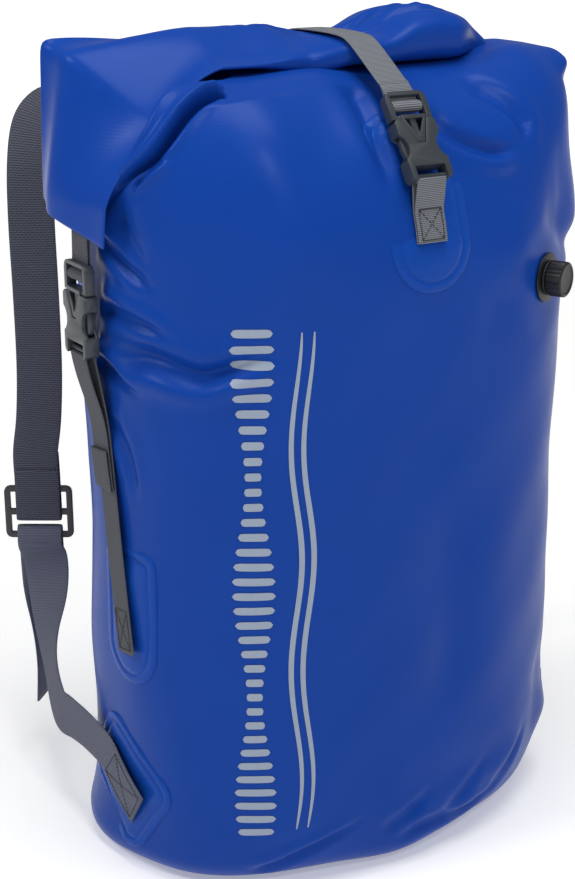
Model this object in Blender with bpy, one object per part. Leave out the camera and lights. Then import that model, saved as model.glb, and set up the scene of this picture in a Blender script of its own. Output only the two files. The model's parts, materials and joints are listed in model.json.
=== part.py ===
"""A roll-top dry bag with shoulder straps, stuffed full, rolled shut and buckled.

Metres, +Z up. The origin is the middle of the base, the front faces -Y, and +X is to the right
of someone who looks at the front.
"""

import math

import bmesh
import bpy
import numpy as np
from mathutils import Matrix, Vector

# Bag body
BAG_WIDTH = 0.388
BAG_DEPTH = 0.272
BODY_HEIGHT = 0.612
SHOULDER_HEIGHT = 0.455
BASE_RADIUS = 0.024
WALL = 0.0015
MOUTH_INSET = 0.014
MOUTH_DEPTH = 0.056
PLAN_SQUARENESS = 2.4
CLEARANCE = 0.0004

# Rolled collar and the two stiffeners at its heart
ROLL_WIDTH = 0.094
ROLL_THICKNESS = 0.030
ROLL_CORNER = 0.100
WING_THICKNESS = 0.022
WING_END_HEIGHT = 0.512
WING_BACKSET = 0.012
WING_GAP = 0.0020
CORE_WIDTH = 0.031
CORE_DEPTH = 0.0052
STIFFENER_WIDTH = 0.024
STIFFENER_THICKNESS = 0.0012
STIFFENER_END_SHARE = 0.06
ROLL_SQUARENESS = 3.2
SQUARE_CORNER = 12.0
CUT_CORNER = 1.7
WING_SHARE = 0.06
BEND_SHARE = 0.44
EDGE_THINNING = 0.60
EDGE_THIN_FROM = 0.6
THIN_FROM = 0.44
EDGE_BULGE = 0.016
PINCH_DEPTH = 0.008
PINCH_REACH = 0.034
LOBE_PLACE = 0.072
LOBE_REACH = 0.055
LOBE_RISE = 0.010

# Closure webbing and its sewn patches
WEBBING_WIDTH = 0.025
WEBBING_THICKNESS = 0.0016
PATCH_THICKNESS = 0.0010
PATCH_GAP = 0.0007
FRONT_PATCH_WIDTH = 0.076
FRONT_PATCH_LENGTH = 0.105
FRONT_PATCH_HEIGHT = 0.468
FRONT_TAB_HEIGHT = 0.500
BACK_PATCH_WIDTH = 0.076
BACK_PATCH_LENGTH = 0.100
BACK_PATCH_HEIGHT = 0.430
BACK_STRAP_HEIGHT = 0.455
STRAP_TAIL_LENGTH = 0.014
STRAP_BELOW_ROLL = 0.010

# Side release buckle
BUCKLE_RAIL = 0.0048
BUCKLE_THICKNESS = 0.0110
SOCKET_LENGTH = 0.046
SOCKET_CORNER = 0.0040
PLUG_LENGTH = 0.022
PLUG_CORNER = 0.0060
PLUG_THICKNESS = 0.0076
BAR_RADIUS = 0.0021
BAR_INSET = 0.0036
TOP_BAR = 0.0030
LADDER_PLACE = 0.0112
LADDER_ENTRY = 0.0020
LADDER_WRAP = (10.0, 205.0)
PLUG_ROOT = 0.0028
SLOT_LENGTH = 0.0088
POCKET_START = 0.0135
POCKET_DEPTH = 0.0052
POCKET_WALL = 0.0022
POCKET_DROP = 0.0012
WINDOW_START = 0.0155
WINDOW_END = 0.0345
WAIST_WIDTH = 0.0240
WAIST_POWER = 2.6
PRONG_ARM = 0.0034
PRONG_STEP = 0.0021
PRONG_BULGE = 0.0034
PRONG_TIP_GAP = 0.0015
NOTCH_LENGTH = 0.0180
NOTCH_WIDTH = 0.0200
NOTCH_TIP = 0.0060
NOTCH_RIM = 0.0022
FIT = 0.0005
FRONT_BUCKLE_HEIGHT = 0.566
FRONT_BUCKLE_STANDOFF = 0.0040
SIDE_BUCKLE_DROP = 0.026

# Side webbing
SIDE_PATCH_WIDTH = 0.060
SIDE_PATCH_LENGTH = 0.110
SIDE_PATCH_HEIGHT = 0.164
SIDE_STRAP_HEIGHT = 0.190
SIDE_STRAP_LEAN = 0.029
SIDE_LEAN_POWER = 1.5
SIDE_TAIL_HEIGHT = 0.318
SIDE_TAIL_FOLD = 0.028
SIDE_STRAP_LEAVES = 0.370
TAB_INSERT = 0.016

# Shoulder straps
SHOULDER_WEBBING_WIDTH = 0.038
SHOULDER_WEBBING_THICKNESS = 0.0020
SLIDER_WIDTH = 0.058
SLIDER_HEIGHT = 0.047
SLIDER_THICKNESS = 0.0040
SLIDER_RAIL = 0.0052
SLIDER_LIFT = 0.228
SLIDER_OUT = 0.169
SLIDER_BACK = 0.190
SLIDER_TURN = 32.5
UPPER_PATCH_WIDTH = 0.072
UPPER_PATCH_LENGTH = 0.090
UPPER_PATCH_HEIGHT = 0.420
UPPER_PATCH_OUT = 0.085
UPPER_SEWN_SHARES = (0.3, 0.9)
LOWER_PATCH_WIDTH = 0.084
LOWER_PATCH_LENGTH = 0.094
LOWER_PATCH_HEIGHT = 0.072
LOWER_PATCH_FORWARD = 0.010
LOWER_PATCH_TURN = 55.0
LOWER_TAB_LENGTH = 0.056
SHOULDER_SEWN_GAP = 0.0008
# Free runs of a shoulder strap, as shares of the bag's half width, half depth and height
UPPER_ROUTE = [(0.472, 1.147, 0.891), (0.563, 1.338, 0.935), (0.683, 1.449, 0.948), (0.784, 1.471, 0.908),
               (0.819, 1.449, 0.817), (0.829, 1.412, 0.686), (0.839, 1.397, 0.556)]
LOWER_ROUTE = [(0.854, 1.368, 0.288), (0.905, 1.235, 0.216), (0.975, 0.971, 0.163), (1.030, 0.676, 0.147),
               (1.033, 0.412, 0.154)]
PATCH_CORNER = 0.018
STRAP_LEAVES = 0.010
STRAP_CLOSES = 0.034
STRAP_SEWN_BACK = 0.030
SHOULDER_TAIL = 0.105
TAIL_STANDS_OFF = 0.018
UPPER_WRAP = (20.0, -200.0)
LOWER_WRAP = (-15.0, 195.0)

# Purge valve
VALVE_HEIGHT = 0.457
VALVE_ANGLE = -54.0
VALVE_HOLE = 0.0200
VALVE_CUTTER_REACH = 0.0100
VALVE_STEM = 0.0180
VALVE_BORE = 0.0120
VALVE_FLANGE = 0.0380
VALVE_FLANGE_THICKNESS = 0.0016
VALVE_STEM_RISE = 0.0080
VALVE_STEM_DEPTH = 0.0080
VALVE_NUT = 0.0300
VALVE_NUT_THICKNESS = 0.0030
VALVE_NUT_DEPTH = 0.0030
VALVE_CAP = 0.0270
VALVE_CAP_HEIGHT = 0.0130
VALVE_CAP_WALL = 0.0026
VALVE_CAP_RIBS = 26
VALVE_RIB_DEPTH = 0.0008
VALVE_SEAL_THICKNESS = 0.0014
VALVE_FLAP_THICKNESS = 0.0010

# Facets
PLAN_FACETS = 48
ROUND_FACETS = 20
BAR_FACETS = 10

# Small steps for slopes worked out from two points, in metres and in radians
PROBE = 0.001
PROBE_TURN = 0.01

UP = Vector((0.0, 0.0, 1.0))
PATCH_LIFT = PATCH_GAP + PATCH_THICKNESS
WEBBING_LAYER = WEBBING_THICKNESS + CLEARANCE
SHOULDER_LAYER = SHOULDER_WEBBING_THICKNESS + CLEARANCE


def clear_scene():
    """Remove every object that the file starts with."""
    for obj in list(bpy.data.objects):
        bpy.data.objects.remove(obj, do_unlink=True)


def make_material(name, colour, roughness, metallic=0.0):
    """A Principled material of one colour."""
    material = bpy.data.materials.new(name)
    material.use_nodes = True
    shader = material.node_tree.nodes["Principled BSDF"]
    shader.inputs["Base Color"].default_value = (*colour, 1.0)
    shader.inputs["Roughness"].default_value = roughness
    shader.inputs["Metallic"].default_value = metallic
    material.diffuse_color = (*colour, 1.0)
    return material


def link(name, mesh, material, parent=None, location=(0.0, 0.0, 0.0)):
    """Add a mesh to the scene as a named piece, under a parent empty where one is given."""
    if not mesh.materials:
        mesh.materials.append(material)
    obj = bpy.data.objects.new(name, mesh)
    bpy.context.collection.objects.link(obj)
    obj.location = location
    obj.parent = parent
    return obj


def place_empty(name, matrix):
    """An empty that carries pieces drawn in their own directions."""
    empty = bpy.data.objects.new(name + "_place", None)
    bpy.context.collection.objects.link(empty)
    empty.matrix_world = matrix
    return empty


def mesh_from(name, points, faces):
    """A closed mesh with its faces turned outwards."""
    mesh = bpy.data.meshes.new(name)
    mesh.from_pydata([tuple(point) for point in points], [], faces)
    shell = bmesh.new()
    shell.from_mesh(mesh)
    bmesh.ops.recalc_face_normals(shell, faces=shell.faces)
    shell.to_mesh(mesh)
    shell.free()
    return mesh


def smooth_shaded(mesh, angle=35.0):
    """Shade a mesh smooth, apart from its edges sharper than the angle."""
    mesh.shade_smooth()
    mesh.set_sharp_from_angle(angle=math.radians(angle))
    return mesh


def ring_faces(rings, count):
    """Quads between the rings of a tube."""
    index = np.arange(rings * count).reshape(rings, count)
    after = np.roll(index, -1, axis=1)
    return np.stack([index[:-1], after[:-1], after[1:], index[1:]], axis=-1).reshape(-1, 4)


def double_tube(name, outer, inner, material):
    """A solid between an outer and an inner tube of rings, joined at both ends."""
    rings, count = outer.shape[:2]
    points = np.concatenate([outer.reshape(-1, 3), inner.reshape(-1, 3)])
    tube = ring_faces(rings, count)
    faces = tube.tolist() + (tube[:, ::-1] + rings * count).tolist()
    step = np.arange(count)
    after = np.roll(step, -1)
    for ring in (0, rings - 1):
        first, second = ring * count, (ring + rings) * count
        faces += np.stack([first + step, first + after, second + after, second + step], axis=1).tolist()
    return link(name, smooth_shaded(mesh_from(name, points, faces)), material)


# Bag body: a superellipse in plan that rounds in at the base and closes to a slot at the mouth


def half_sizes(height):
    """Half width and half depth of the outside of the wall at a height."""
    height = np.asarray(height, dtype=float)
    drop = np.clip(BASE_RADIUS - height, 0.0, BASE_RADIUS)
    inset = BASE_RADIUS - np.sqrt(np.maximum(BASE_RADIUS**2 - drop**2, 0.0))
    rise = np.clip((height - SHOULDER_HEIGHT) / (BODY_HEIGHT - SHOULDER_HEIGHT), 0.0, 1.0)
    width = BAG_WIDTH / 2 - MOUTH_INSET * (1.0 - np.sqrt(1.0 - rise**6))
    depth = MOUTH_DEPTH / 2 + (BAG_DEPTH - MOUTH_DEPTH) / 2 * np.sqrt(1.0 - rise**2)
    return width - inset, depth - inset


def plan_point(angle, width, depth):
    """Point of the superellipse at an angle, for given half sizes."""
    power = 2.0 / PLAN_SQUARENESS
    across = np.sign(np.cos(angle)) * np.abs(np.cos(angle)) ** power
    along = np.sign(np.sin(angle)) * np.abs(np.sin(angle)) ** power
    return width * across, depth * along


def wall_heights():
    """Heights of the rings of the wall: the base round, the sides and the shoulder."""
    turn = np.linspace(0.0, math.pi / 2, 5)
    base = BASE_RADIUS * (1.0 - np.cos(turn))
    sides = np.linspace(BASE_RADIUS, SHOULDER_HEIGHT, 8)[1:]
    rise = np.sin(np.linspace(0.0, math.pi / 2, 9)[1:])
    return np.concatenate([base, sides, SHOULDER_HEIGHT + (BODY_HEIGHT - SHOULDER_HEIGHT) * rise])


def bag_wall(material):
    """The welded tube of the bag: an outer and an inner skin that meet at the base and the mouth."""
    heights = wall_heights()
    angles = np.linspace(0.0, 2 * math.pi, PLAN_FACETS, endpoint=False)
    width, depth = half_sizes(heights)
    x, y = plan_point(angles[None, :], width[:, None], depth[:, None])
    outer = np.stack([x, y, np.broadcast_to(heights[:, None], x.shape)], axis=2)
    around = np.roll(outer, -1, axis=1) - np.roll(outer, 1, axis=1)
    upward = np.gradient(outer, axis=0)
    normal = np.cross(around, upward)
    normal /= np.linalg.norm(normal, axis=2, keepdims=True)
    normal[0] = (0.0, 0.0, -1.0)
    normal[-1] = (0.0, 0.0, 1.0)
    inner = outer - WALL * normal
    return double_tube("bag_wall", outer, inner, material)


def base_panel(material):
    """The oval floor of the bag, edge to edge with the wall where it turns under."""
    angles = np.linspace(0.0, 2 * math.pi, PLAN_FACETS, endpoint=False)
    width, depth = half_sizes(0.0)
    x, y = plan_point(angles, width - CLEARANCE, depth - CLEARANCE)
    points = [(a, b, z) for z in (0.0, WALL) for a, b in zip(x, y)]
    faces = [list(range(PLAN_FACETS)), list(range(PLAN_FACETS, 2 * PLAN_FACETS))]
    for step in range(PLAN_FACETS):
        after = (step + 1) % PLAN_FACETS
        faces.append([step, after, after + PLAN_FACETS, step + PLAN_FACETS])
    return link("base_panel", mesh_from("base_panel", points, faces), material)


# Sides of the bag as planes that straps and patches are laid out on


class Side:
    """One side of the bag, with its outward direction and the sideways direction along it."""

    def __init__(self, outward, reach_is_depth):
        self.outward = np.array(outward, dtype=float)
        self.sideways = np.cross((0.0, 0.0, 1.0), self.outward)
        self.reach_is_depth = reach_is_depth

    def reach(self, sideways, height):
        """Distance of the wall from the bag's axis."""
        width, depth = half_sizes(height)
        reach, span = (depth, width) if self.reach_is_depth else (width, depth)
        share = np.clip(np.abs(np.asarray(sideways) / span), 0.0, 0.98)
        return reach * (1.0 - share**PLAN_SQUARENESS) ** (1.0 / PLAN_SQUARENESS)

    def slope(self, height):
        """How fast the wall's reach grows with height on the middle line."""
        return float(self.reach(0.0, height + PROBE) - self.reach(0.0, height - PROBE)) / (2 * PROBE)

    def place(self, reach, sideways, height):
        """World points from distances along the outward, sideways and up directions."""
        reach, sideways, height = np.broadcast_arrays(reach, sideways, height)
        return (reach[..., None] * self.outward + sideways[..., None] * self.sideways
                + height[..., None] * np.array((0.0, 0.0, 1.0)))

    def on_wall(self, sideways, height, lift):
        """Points lifted off the wall along its normal."""
        sideways, height = np.broadcast_arrays(np.asarray(sideways, float), np.asarray(height, float))
        across = (self.reach(sideways + PROBE, height) - self.reach(sideways - PROBE, height)) / (2 * PROBE)
        upward = (self.reach(sideways, height + PROBE) - self.reach(sideways, height - PROBE)) / (2 * PROBE)
        lift = lift / np.sqrt(1.0 + across**2 + upward**2)
        reach = self.reach(sideways, height) + lift
        return self.place(reach, sideways - across * lift, height - upward * lift)

    def along_wall(self, sideways, height, across, upward):
        """Directions along the wall's surface for a step across and up."""
        first = self.on_wall(sideways - across * PROBE, height - upward * PROBE, 0.0)
        return self.on_wall(sideways + across * PROBE, height + upward * PROBE, 0.0) - first


FRONT = Side((0.0, -1.0, 0.0), True)
BACK = Side((0.0, 1.0, 0.0), True)
LEFT = Side((-1.0, 0.0, 0.0), False)
RIGHT = Side((1.0, 0.0, 0.0), False)
SIDES = {"left": (LEFT, -1.0), "right": (RIGHT, 1.0)}


def slab(name, outer, inner, material):
    """A thin solid between two grids of points."""
    rows, columns = outer.shape[:2]
    count = rows * columns
    points = np.concatenate([outer.reshape(-1, 3), inner.reshape(-1, 3)])
    faces = []
    for row in range(rows - 1):
        for column in range(columns - 1):
            first = row * columns + column
            corners = [first, first + 1, first + columns + 1, first + columns]
            faces.append(corners)
            faces.append([corner + count for corner in reversed(corners)])
    border = [column for column in range(columns)]
    border += [row * columns + columns - 1 for row in range(1, rows)]
    border += [(rows - 1) * columns + column for column in range(columns - 2, -1, -1)]
    border += [row * columns for row in range(rows - 2, 0, -1)]
    for first, second in zip(border, border[1:] + border[:1]):
        faces.append([first, second, second + count, first + count])
    return link(name, smooth_shaded(mesh_from(name, points, faces)), material)


def patch(name, side, sideways, height, width, length, low_corner, high_corner, turn, material):
    """A welded patch: a rounded outline laid on the wall, its length running up from its lower end."""
    angles = np.radians([15.0, 40.0, 65.0, 90.0])
    low = low_corner * (1.0 - np.cos(angles))
    high = length - high_corner * (1.0 - np.cos(angles))[::-1]
    middle = np.linspace(low[-1], high[0], 5)[1:-1]
    along = np.concatenate([low, middle, high])
    low_side = width / 2 - low_corner * (1.0 - np.sin(angles))
    high_side = (width / 2 - high_corner * (1.0 - np.sin(angles)))[::-1]
    half = np.concatenate([low_side, np.full(len(middle), width / 2), high_side])
    across = np.linspace(-1.0, 1.0, 8)[None, :] * half[:, None]
    along = np.broadcast_to(along[:, None], across.shape)
    cosine, sine = math.cos(math.radians(turn)), math.sin(math.radians(turn))
    grid_sideways = sideways + across * cosine - along * sine
    grid_height = height + across * sine + along * cosine
    outer = side.on_wall(grid_sideways, grid_height, PATCH_LIFT)
    inner = side.on_wall(grid_sideways, grid_height, PATCH_GAP)
    return slab(name, outer, inner, material)


# Webbing: a flat band along a line of middle points


def band(name, middles, sideways, width, thickness, material):
    """A band of webbing with its width along the sideways directions."""
    middles = np.asarray(middles, dtype=float)
    sideways = np.broadcast_to(np.asarray(sideways, dtype=float), middles.shape)
    sideways = sideways / np.linalg.norm(sideways, axis=1, keepdims=True)
    steps = np.diff(middles, axis=0)
    steps /= np.linalg.norm(steps, axis=1, keepdims=True)
    before = np.cross(steps, sideways[:-1])
    after = np.cross(steps, sideways[1:])
    before /= np.linalg.norm(before, axis=1, keepdims=True)
    after /= np.linalg.norm(after, axis=1, keepdims=True)
    normal = np.concatenate([before[:1], after[:-1] + before[1:], after[-1:]])
    normal /= np.linalg.norm(normal, axis=1, keepdims=True)
    lean = np.concatenate([[1.0], np.einsum("ij,ij->i", normal[1:-1], before[1:]), [1.0]])
    normal = normal / np.maximum(lean, 0.5)[:, None]
    half = width / 2
    corners = np.stack([middles + half * sideways + thickness / 2 * normal,
                        middles - half * sideways + thickness / 2 * normal,
                        middles - half * sideways - thickness / 2 * normal,
                        middles + half * sideways - thickness / 2 * normal], axis=1)
    last = 4 * (len(middles) - 1)
    faces = [[0, 1, 2, 3], [last + 3, last + 2, last + 1, last]]
    for station in range(len(middles) - 1):
        first = 4 * station
        for corner in range(4):
            after_corner = (corner + 1) % 4
            faces.append([first + corner, first + after_corner, first + 4 + after_corner, first + 4 + corner])
    return link(name, smooth_shaded(mesh_from(name, corners.reshape(-1, 3), faces)), material)


def curve_through(points, steps=4):
    """Points of a Catmull-Rom curve through a list of points."""
    points = np.asarray(points, dtype=float)
    padded = np.vstack([2 * points[0] - points[1], points, 2 * points[-1] - points[-2]])
    share = np.linspace(0.0, 1.0, steps, endpoint=False)[:, None]
    runs = []
    for index in range(len(points) - 1):
        a, b, c, d = padded[index:index + 4]
        runs.append(0.5 * (2 * b + (c - a) * share + (2 * a - 5 * b + 4 * c - d) * share**2
                           + (3 * b - a - 3 * c + d) * share**3))
    return np.vstack(runs + [points[-1:]])


def turn_points(centre, radius, start, end, steps=8):
    """Points of an arc in a plane, in degrees from the first axis towards the second."""
    angles = np.radians(np.linspace(start, end, steps))
    return np.stack([centre[0] + radius * np.cos(angles), centre[1] + radius * np.sin(angles)], axis=1)


# Rolled collar


def eased(share):
    """A soft switch from 0 to 1 over a share of the way."""
    share = np.clip(share, 0.0, 1.0)
    return share * share * (3.0 - 2.0 * share)


def flat_oval(count=20):
    """A flat oval outline as shares of its half width and half thickness."""
    angles = np.linspace(0.0, 2 * math.pi, count, endpoint=False)
    power = 2.0 / ROLL_SQUARENESS
    across = np.sign(np.cos(angles)) * np.abs(np.cos(angles)) ** power
    upward = np.sign(np.sin(angles)) * np.abs(np.sin(angles)) ** power
    return across, upward


def strap_pinch(x):
    """How much the closure strap presses the roll at a distance from the middle."""
    return np.exp(-(x / PINCH_REACH) ** 4)


def roll_half_thickness(along, edge):
    """Half thickness of the roll, less in the wings, under the strap and at the left front edge."""
    half = 1.0 - 2.0 * np.abs(along - 0.5)
    folded = 1.0 - eased((half - WING_SHARE) / BEND_SHARE)
    thick = ROLL_THICKNESS + (WING_THICKNESS - ROLL_THICKNESS) * folded
    thin = EDGE_THINNING * eased((THIN_FROM - along) / THIN_FROM) * eased((EDGE_THIN_FROM - edge) / 2)
    middle = (2.0 * along - 1.0) * BAG_WIDTH / 2
    return (thick * (1.0 - thin) - PINCH_DEPTH * strap_pinch(middle)) / 2


def roll_point(along, edge, lift, core=False):
    """Point of the roll at a share along it, a place across it (-1 front edge, 1 back edge) and a lift.

    The core at the heart of the roll bends evenly across its width and isn't drawn back or forward.
    """
    hand = np.where(along < 0.5, -1.0, 1.0)
    half = 1.0 - 2.0 * np.abs(along - 0.5)
    turn = np.clip((half - WING_SHARE) / BEND_SHARE, 0.0, 1.0) * math.pi / 2
    down = np.clip(half / WING_SHARE, 0.0, 1.0)
    inward = np.clip((half - WING_SHARE - BEND_SHARE) / (1.0 - WING_SHARE - BEND_SHARE), 0.0, 1.0)
    out = BAG_WIDTH / 2 + WING_GAP + WING_THICKNESS / 2
    top = BODY_HEIGHT + CLEARANCE + ROLL_THICKNESS / 2
    cut = 0.5 if core else (1.0 - edge) / 2
    front = np.where(hand < 0.0, eased(cut) ** 2, 0.0)
    power = SQUARE_CORNER + (CUT_CORNER - SQUARE_CORNER) * front
    radius = (np.cos(turn) ** power + np.sin(turn) ** power) ** (-1.0 / power)
    x = hand * ((out - ROLL_CORNER) * (1.0 - inward) + (ROLL_CORNER + lift) * radius * np.cos(turn))
    z = top - ROLL_CORNER + (ROLL_CORNER + lift) * radius * np.sin(turn)
    z = z - (1.0 - down) * (top - ROLL_CORNER - WING_END_HEIGHT)
    share = np.clip(lift / roll_half_thickness(along, edge), -1.0, 1.0)
    pinch = strap_pinch((2.0 * along - 1.0) * BAG_WIDTH / 2)
    lobe = np.exp(-((x - LOBE_PLACE) / LOBE_REACH) ** 2) * (1.0 - pinch)
    z = z + LOBE_RISE * lobe * (1.0 + share) / 2 - PINCH_DEPTH / 2 * pinch
    y = edge * ROLL_WIDTH / 2
    if not core:
        folded = 1.0 - eased(turn / (math.pi / 2))
        y = y + WING_BACKSET * folded - EDGE_BULGE * np.sin(2 * turn) * front
    return np.stack(np.broadcast_arrays(x, y, z), axis=-1)


def roll_stations():
    """Shares along the roll, closer together round the corners."""
    half = np.concatenate([[0.0], np.linspace(WING_SHARE, WING_SHARE + BEND_SHARE, 12),
                           np.linspace(WING_SHARE + BEND_SHARE, 1.0, 8)[1:]])
    return np.concatenate([half / 2, 1.0 - half[-2::-1] / 2])


def rolled_collar(material):
    """The rolled mouth: a flat oval tube over the top of the bag, with both ends bent down as wings."""
    across, upward = flat_oval()
    along = roll_stations()[:, None]
    edge = np.broadcast_to(across, (len(along), len(across)))
    outside = roll_point(along, edge, upward * roll_half_thickness(along, edge))
    inside = roll_point(along, edge * CORE_WIDTH / ROLL_WIDTH, upward * CORE_DEPTH / 2, core=True)
    return double_tube("rolled_collar", outside, inside, material)


def mouth_stiffeners(material):
    """Two plastic strips of the mouth's hems, face to face at the heart of the roll."""
    along = roll_stations()
    along = along[np.abs(along - 0.5) < 0.5 - STIFFENER_END_SHARE][:, None]
    edge = np.array((-1.0, 1.0, 1.0, -1.0)) * STIFFENER_WIDTH / ROLL_WIDTH
    half = STIFFENER_THICKNESS / 2
    step = half + CLEARANCE / 2
    for name, lift in (("mouth_stiffener_front", step), ("mouth_stiffener_rear", -step)):
        points = roll_point(along, edge, lift + half * np.array((-1.0, -1.0, 1.0, 1.0)), core=True)
        last = 4 * (len(along) - 1)
        faces = ring_faces(len(along), 4).tolist() + [[0, 1, 2, 3], [last + 3, last + 2, last + 1, last]]
        link(name, smooth_shaded(mesh_from(name, points.reshape(-1, 3), faces)), material)


# Side release buckle, drawn flat: across, along from the socket's bar, and out of the face

BUCKLE_HALF = WEBBING_WIDTH / 2 + BUCKLE_RAIL
SLOT_HALF = WEBBING_WIDTH / 2 + CLEARANCE
POCKET_HALF = WEBBING_WIDTH / 2 + CLEARANCE
POCKET_TOP = BUCKLE_THICKNESS / 2 - POCKET_WALL - POCKET_DROP
POCKET_BOTTOM = POCKET_TOP - POCKET_DEPTH
PLUG_START = SOCKET_LENGTH + CLEARANCE
PLUG_END = SOCKET_LENGTH + PLUG_LENGTH
LADDER_BAR = PLUG_START + LADDER_PLACE
PRONG_ROOT = PLUG_START - CLEARANCE
PRONG_OUT = POCKET_HALF - FIT - PRONG_ARM / 2
PRONG_TIP = POCKET_START + PRONG_TIP_GAP


def prism(outline, low, high):
    """A scratch object: a flat outline carried from one depth to another."""
    count = len(outline)
    points = [(x, y, z) for z in (low, high) for x, y in outline]
    faces = [list(range(count)), list(range(count, 2 * count))]
    for step in range(count):
        after = (step + 1) % count
        faces.append([step, after, after + count, step + count])
    return link("scratch", mesh_from("scratch", points, faces), None)


def block(low, high):
    """A scratch object: a box between two corners."""
    outline = [(low[0], low[1]), (high[0], low[1]), (high[0], high[1]), (low[0], high[1])]
    return prism(outline, low[2], high[2])


def rod(start, end, radius):
    """A scratch object: a round bar across the buckle."""
    angles = np.linspace(0.0, 2 * math.pi, BAR_FACETS, endpoint=False)
    points = [(x, start[1] + radius * math.cos(angle), start[2] + radius * math.sin(angle))
              for x in (start[0], end[0]) for angle in angles]
    faces = [list(range(BAR_FACETS)), list(range(BAR_FACETS, 2 * BAR_FACETS))]
    for step in range(BAR_FACETS):
        after = (step + 1) % BAR_FACETS
        faces.append([step, after, after + BAR_FACETS, step + BAR_FACETS])
    return link("scratch", mesh_from("scratch", points, faces), None)


def combined(name, base, cuts=(), joins=()):
    """The mesh of a base with cutters taken out and pieces joined on, and the scratch objects removed."""
    for operation, others in (("DIFFERENCE", cuts), ("UNION", joins)):
        for other in others:
            modifier = base.modifiers.new(operation.lower(), "BOOLEAN")
            modifier.operation = operation
            modifier.object = other
    evaluated = base.evaluated_get(bpy.context.evaluated_depsgraph_get())
    mesh = bpy.data.meshes.new_from_object(evaluated)
    mesh.name = name
    mesh.materials.clear()
    for obj in (base, *cuts, *joins):
        bpy.data.objects.remove(obj, do_unlink=True)
    shell = bmesh.new()
    shell.from_mesh(mesh)
    bmesh.ops.remove_doubles(shell, verts=shell.verts, dist=1e-6)
    bmesh.ops.triangulate(shell, faces=shell.faces)
    shell.to_mesh(mesh)
    shell.free()
    return mesh


def mirrored_outline(half):
    """A whole outline from the points of its right half, listed upwards."""
    return half + [(-x, y) for x, y in reversed(half)]


def socket_mesh():
    """The female half: a box with a pocket, waisted open at both sides, and a bar for the webbing."""
    waist = WAIST_WIDTH / 2
    middle = (WINDOW_START + WINDOW_END) / 2
    scallop = [(waist + (BUCKLE_HALF - waist) * abs(share) ** WAIST_POWER,
                middle + share * (WINDOW_END - WINDOW_START) / 2) for share in np.linspace(-1.0, 1.0, 9)]
    low_corner = turn_points((BUCKLE_HALF - SOCKET_CORNER, SOCKET_CORNER), SOCKET_CORNER, -90.0, 0.0, 4)
    step = BUCKLE_RAIL / 2
    half = low_corner.tolist() + scallop
    half += [(BUCKLE_HALF, SOCKET_LENGTH - step), (BUCKLE_HALF - step, SOCKET_LENGTH)]
    body = prism(mirrored_outline(half), -BUCKLE_THICKNESS / 2, BUCKLE_THICKNESS / 2)
    deep = BUCKLE_THICKNESS
    notch = [(NOTCH_TIP / 2 + FIT, SOCKET_LENGTH - NOTCH_LENGTH - FIT),
             (NOTCH_WIDTH / 2 + FIT, SOCKET_LENGTH + FIT)]
    cuts = [
        block((-POCKET_HALF, POCKET_START, POCKET_BOTTOM), (POCKET_HALF, SOCKET_LENGTH + FIT, POCKET_TOP)),
        block((-SLOT_HALF, -FIT, -deep), (SLOT_HALF, SLOT_LENGTH + BAR_INSET - BAR_RADIUS, deep)),
        prism(mirrored_outline(notch), POCKET_TOP - FIT, deep),
        block((-2 * BUCKLE_HALF, WINDOW_START, POCKET_BOTTOM), (2 * BUCKLE_HALF, WINDOW_END, POCKET_TOP)),
    ]
    bar = rod((-SLOT_HALF - FIT, BAR_INSET, 0.0), (SLOT_HALF + FIT, BAR_INSET, 0.0), BAR_RADIUS)
    return combined("buckle_socket", body, cuts, [bar])


def plug_mesh():
    """The male half without its prongs: a ladder for the webbing, a centre guide and a framed notch plate."""
    corner = turn_points((BUCKLE_HALF - PLUG_CORNER, PLUG_END - PLUG_CORNER), PLUG_CORNER, 0.0, 90.0, 5)
    half = [(BUCKLE_HALF, PLUG_START)] + corner.tolist()
    thick = PLUG_THICKNESS / 2
    body = prism(mirrored_outline(half), -thick, thick)
    root = PLUG_START + PLUG_ROOT
    window = block((-SLOT_HALF, root, -2 * thick), (SLOT_HALF, PLUG_END - TOP_BAR, 2 * thick))
    under = block((-SLOT_HALF, PLUG_END - 2 * TOP_BAR, -2 * thick), (SLOT_HALF, PLUG_END + FIT, 0.0))
    bar = rod((-SLOT_HALF - FIT, LADDER_BAR, 0.0), (SLOT_HALF + FIT, LADDER_BAR, 0.0), BAR_RADIUS)
    plate_low = POCKET_TOP + FIT
    plate_high = BUCKLE_THICKNESS / 2 - FIT
    plate_half = [(NOTCH_TIP / 2, SOCKET_LENGTH - NOTCH_LENGTH), (NOTCH_WIDTH / 2, SOCKET_LENGTH),
                  (NOTCH_WIDTH / 2, root)]
    rim = NOTCH_WIDTH / 2 - NOTCH_RIM
    rim_half = [(FIT, SOCKET_LENGTH - NOTCH_LENGTH + 2 * NOTCH_RIM), (rim, SOCKET_LENGTH), (rim, PLUG_START)]
    opening = prism(mirrored_outline(rim_half), plate_low - FIT, plate_high + FIT)
    framed = combined("notch_plate", prism(mirrored_outline(plate_half), plate_low, plate_high), [opening])
    plate = link("scratch", framed, None)
    step = block((-NOTCH_WIDTH / 2, PLUG_START, 0.0), (NOTCH_WIDTH / 2, root, plate_high))
    guide_half = NOTCH_TIP / 2 - FIT
    guide = block((-guide_half, SOCKET_LENGTH - NOTCH_LENGTH + FIT, POCKET_BOTTOM + FIT),
                  (guide_half, root, plate_low + FIT))
    return combined("buckle_plug", body, [window, under], [bar, step, plate, guide])


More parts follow.
